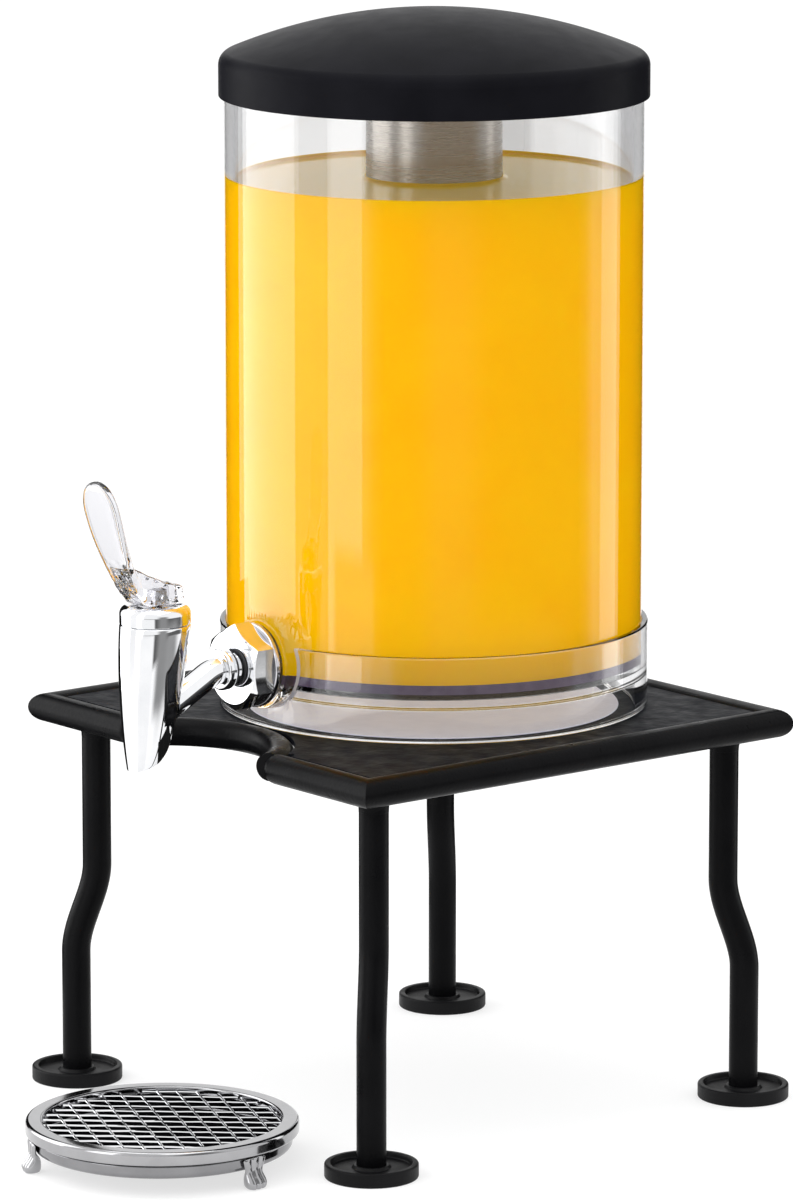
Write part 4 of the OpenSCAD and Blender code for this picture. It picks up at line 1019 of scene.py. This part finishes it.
def claw_rings(angle):
    """A fluted claw foot: three ridges that spread into toes."""
    turn = Matrix.Rotation(math.radians(angle), 4, "Z")
    rings = []
    for z, outer, inner, half in CLAW_SPINE:
        ring = []
        for k in range(FRONT_STEPS + 1):
            w = 2 * k / FRONT_STEPS - 1
            ridge = abs(math.cos(1.5 * math.pi * w)) ** 0.7
            depth = min(1.0, 0.35 * (outer - inner))
            bow = outer - 0.3 * (outer - inner) * w ** 4 - depth * (1 - ridge)
            ring.append((dish_r + bow * MM, CLAW_FRONT * half * w * MM, z * MM))
        for k in range(1, BACK_STEPS):
            w = 1 - 2 * k / BACK_STEPS
            ring.append((dish_r + inner * MM, CLAW_BACK * half * w * MM, z * MM))
        rings.append([tray_axis + turn @ Vector(p) for p in ring])
    return rings


for label, angle in (("right", 6), ("rear", 126), ("front", 246)):
    claw = loft("claw_" + label, claw_rings(angle), TRAY_CHROME_PAINTED_SHADE, sharp=60)
    finer = claw.modifiers.new("finer", "SUBSURF")
    finer.levels = finer.render_levels = 1
    dress(claw, "drip_tray", "chrome", "tray_foot_" + label)

# The plate and the hidden pieces keep their CAD form

KEPT = {
    "stand_plate": PLATE, "tap_gasket": SILICONE, "seat_cup": RUBBER, "stem_seal": RUBBER, "lid_seal": RUBBER,
    "ice_tube_seal": RUBBER, "valve_stem": PIN, "cross_pin": PIN, "ice_tube_base": STEEL_PAINTED_WARM_REFLECTION,
    "ice_tube_ring": LID,
}
for node, material in KEPT.items():
    nodes[node].data.materials.clear()
    nodes[node].data.materials.append(material)

# Camera, light and floor

CAMERA = Vector((2.6007, -2.0506, 0.8887))
YAW, PITCH = math.radians(51.152), math.radians(10.963)
LENS, SENSOR = 213.07, 36
CLIP = (0.1, 50)
camera = bpy.data.objects.new("camera", bpy.data.cameras.new("camera"))
bpy.context.scene.collection.objects.link(camera)
camera.location = CAMERA
forward = Vector((-math.sin(YAW) * math.cos(PITCH), math.cos(YAW) * math.cos(PITCH), -math.sin(PITCH)))
camera.rotation_euler = forward.to_track_quat("-Z", "Y").to_euler()
camera.data.lens = LENS
camera.data.sensor_width = SENSOR
camera.data.clip_start, camera.data.clip_end = CLIP
bpy.context.scene.camera = camera
bpy.context.scene.view_settings.view_transform = "Standard"

to_camera = Vector((math.sin(YAW), -math.cos(YAW), 0))
to_right = Vector((math.cos(YAW), math.sin(YAW), 0))


def around(angle, distance, height):
    """A place round the container: the angle runs from the camera's side to its left, in degrees."""
    a = math.radians(angle)
    return tube_axis + (to_camera * math.cos(a) - to_right * math.sin(a)) * distance + Vector((0, 0, height))


def softbox(name, place, target, width, height, radiance):
    """An area light that faces a target, as bright as a panel of that radiance."""
    light = bpy.data.lights.new(name, "AREA")
    light.shape = "RECTANGLE"
    light.size, light.size_y = width, height
    light.energy = radiance * math.pi * width * height
    obj = bpy.data.objects.new(name, light)
    bpy.context.scene.collection.objects.link(obj)
    obj.location = place
    obj.rotation_euler = (target - place).to_track_quat("-Z", "Y").to_euler()
    obj.visible_camera = False


softbox("left_panel", around(102, 1.0, 0.55), around(0, 0, 0.55), width=0.85, height=1.1, radiance=2.2)
softbox("left_strip", around(48, 1.1, 0.55), around(0, 0, 0.55), width=0.38, height=1.1, radiance=2.0)
softbox("right_strip", around(-107, 1.0, 0.5), around(0, 0, 0.5), width=0.26, height=1.0, radiance=1.25)
softbox("top_panel", around(20, 0.3, 2.2), around(0, 0, 0.3), width=2.0, height=2.0, radiance=1.6)


def bent(centre, start, end, low, high):
    """A grid of points round a centre, between two angles and two edges, which are (distance, height)."""
    high_steps, wide_steps = 50, 24
    shift = centre - tube_axis
    rows = []
    for v in range(high_steps + 1):
        distance, height = (low[i] + (high[i] - low[i]) * v / high_steps for i in (0, 1))
        angles = [start + (end - start) * u / wide_steps for u in range(wide_steps + 1)]
        rows.append([around(angle, distance, height) + shift for angle in angles])
    return rows


def ease(share, soft):
    """Rises from 0 to 1 over the soft edge at both ends of a side."""
    t = min(1, min(share, 1 - share) / soft) if soft else 1
    return t * t * (3 - 2 * t)


def card(name, glow, rows, soft=(0, 0), through=False, colour=(1, 1, 1)):
    """A studio card with soft edges along and across its rows.

    It shows only in reflections, or with through set only through clear walls.
    """
    material = bpy.data.materials.new(name)
    material.use_nodes = True
    tree = material.node_tree
    tree.nodes.remove(tree.nodes["Principled BSDF"])
    mix = add(tree, "MixShader")
    sources = (
        add(tree, "Attribute", attribute_name="fade").outputs["Fac"],
        add(tree, "BsdfTransparent").outputs["BSDF"],
        add(tree, "Emission", Strength=glow, Color=(*colour, 1)).outputs["Emission"],
    )
    for source, socket in zip(sources, mix.inputs):
        tree.links.new(source, socket)
    tree.links.new(mix.outputs["Shader"], tree.nodes["Material Output"].inputs["Surface"])
    high, wide = len(rows), len(rows[0])
    corners = [v * wide + u for v in range(high - 1) for u in range(wide - 1)]
    faces = [(i, i + 1, i + wide + 1, i + wide) for i in corners]
    obj = add_mesh(name, [point for row in rows for point in row], faces, material)
    fade = obj.data.attributes.new("fade", "FLOAT", "POINT")
    along = [ease(u / (wide - 1), soft[0]) for u in range(wide)]
    across = [ease(v / (high - 1), soft[1]) for v in range(high)]
    fade.data.foreach_set("value", [a * b for b in across for a in along])
    obj.visible_camera = False
    obj.visible_diffuse = False
    obj.visible_transmission = through
    obj.visible_glossy = not through
    obj.visible_shadow = False


# Each card's edges are given as angles, then as (distance, height) in metres
LOW, HIGH = 0.004, 0.8
BLACK = 0.01
for side_name, start, end in (("left", 130, 160), ("right", -117, -160)):
    card("flag_" + side_name, BLACK, bent(tube_axis, start, end, (0.9, LOW), (0.9, HIGH)))
    card("mat_" + side_name, BLACK, bent(tube_axis, start, end, (0.32, LOW), (0.9, LOW)))
card("flag_front", 0.12, bent(tube_axis, 38, -95, (1.0, LOW), (8, LOW)), soft=(0.06, 0.02))
card("flag_tap", 0.35, bent(tube_axis, 0, -84, (0.35, 2 * LOW), (1.4, 2 * LOW)), soft=(0.3, 0.25))
card("mat_tap", BLACK, bent(bonnet_axis, 128, 165, (0.25, 3 * LOW), (1.3, 3 * LOW)))
card("card_tap", 1.1, bent(bonnet_axis, 46, -4, (0.14, 0.06), (0.14, 0.25)), soft=(0.12, 0.1))
card("card_band", 0.3, bent(bonnet_axis, -4, -52, (0.42, 3 * LOW), (0.42, 0.42)), soft=(0.4, 0.12))
card("flag_notch", BLACK, [[(x, y, 0.175) for x in (-0.045, 0.045)] for y in (-0.095, -0.045)])
ice_rows = bent(tube_axis, 24, -80, (0.9, LOW), (8, LOW))
card("card_ice", 0.6, ice_rows, soft=(0.06, 0.02), through=True, colour=(1, 0.80, 0.56))
back_rows = bent(tube_axis, -180, -174.8, (1.0, 0.1), (1.0, HIGH))
card("card_back", 0.75, back_rows, soft=(0.12, 0.1), through=True)

world = bpy.data.worlds.new("studio")
world.use_nodes = True
world.node_tree.nodes["Background"].inputs["Color"].default_value = (1, 1, 1, 1)
world.node_tree.nodes["Background"].inputs["Strength"].default_value = 1.08
bpy.context.scene.world = world

FLOOR_HALF = 12
floor_material, floor_tree, floor_bsdf = shader("pale_floor")
floor_colour = tint(floor_tree, grain(floor_tree, scale=3, detail=2), (0.34, 0.34, 0.34), (0.36, 0.36, 0.36))
floor_tree.links.new(floor_colour, floor_bsdf.inputs["Base Color"])
floor_bsdf.inputs["Roughness"].default_value = 0.9
floor_bsdf.inputs["Emission Color"].default_value = (1, 1, 1, 1)
floor_bsdf.inputs["Emission Strength"].default_value = 0.64
corners = [(x * FLOOR_HALF, y * FLOOR_HALF, 0) for x, y in ((-1, -1), (1, -1), (1, 1), (-1, 1))]
floor = add_mesh("floor", corners, [(0, 1, 2, 3)], floor_material)
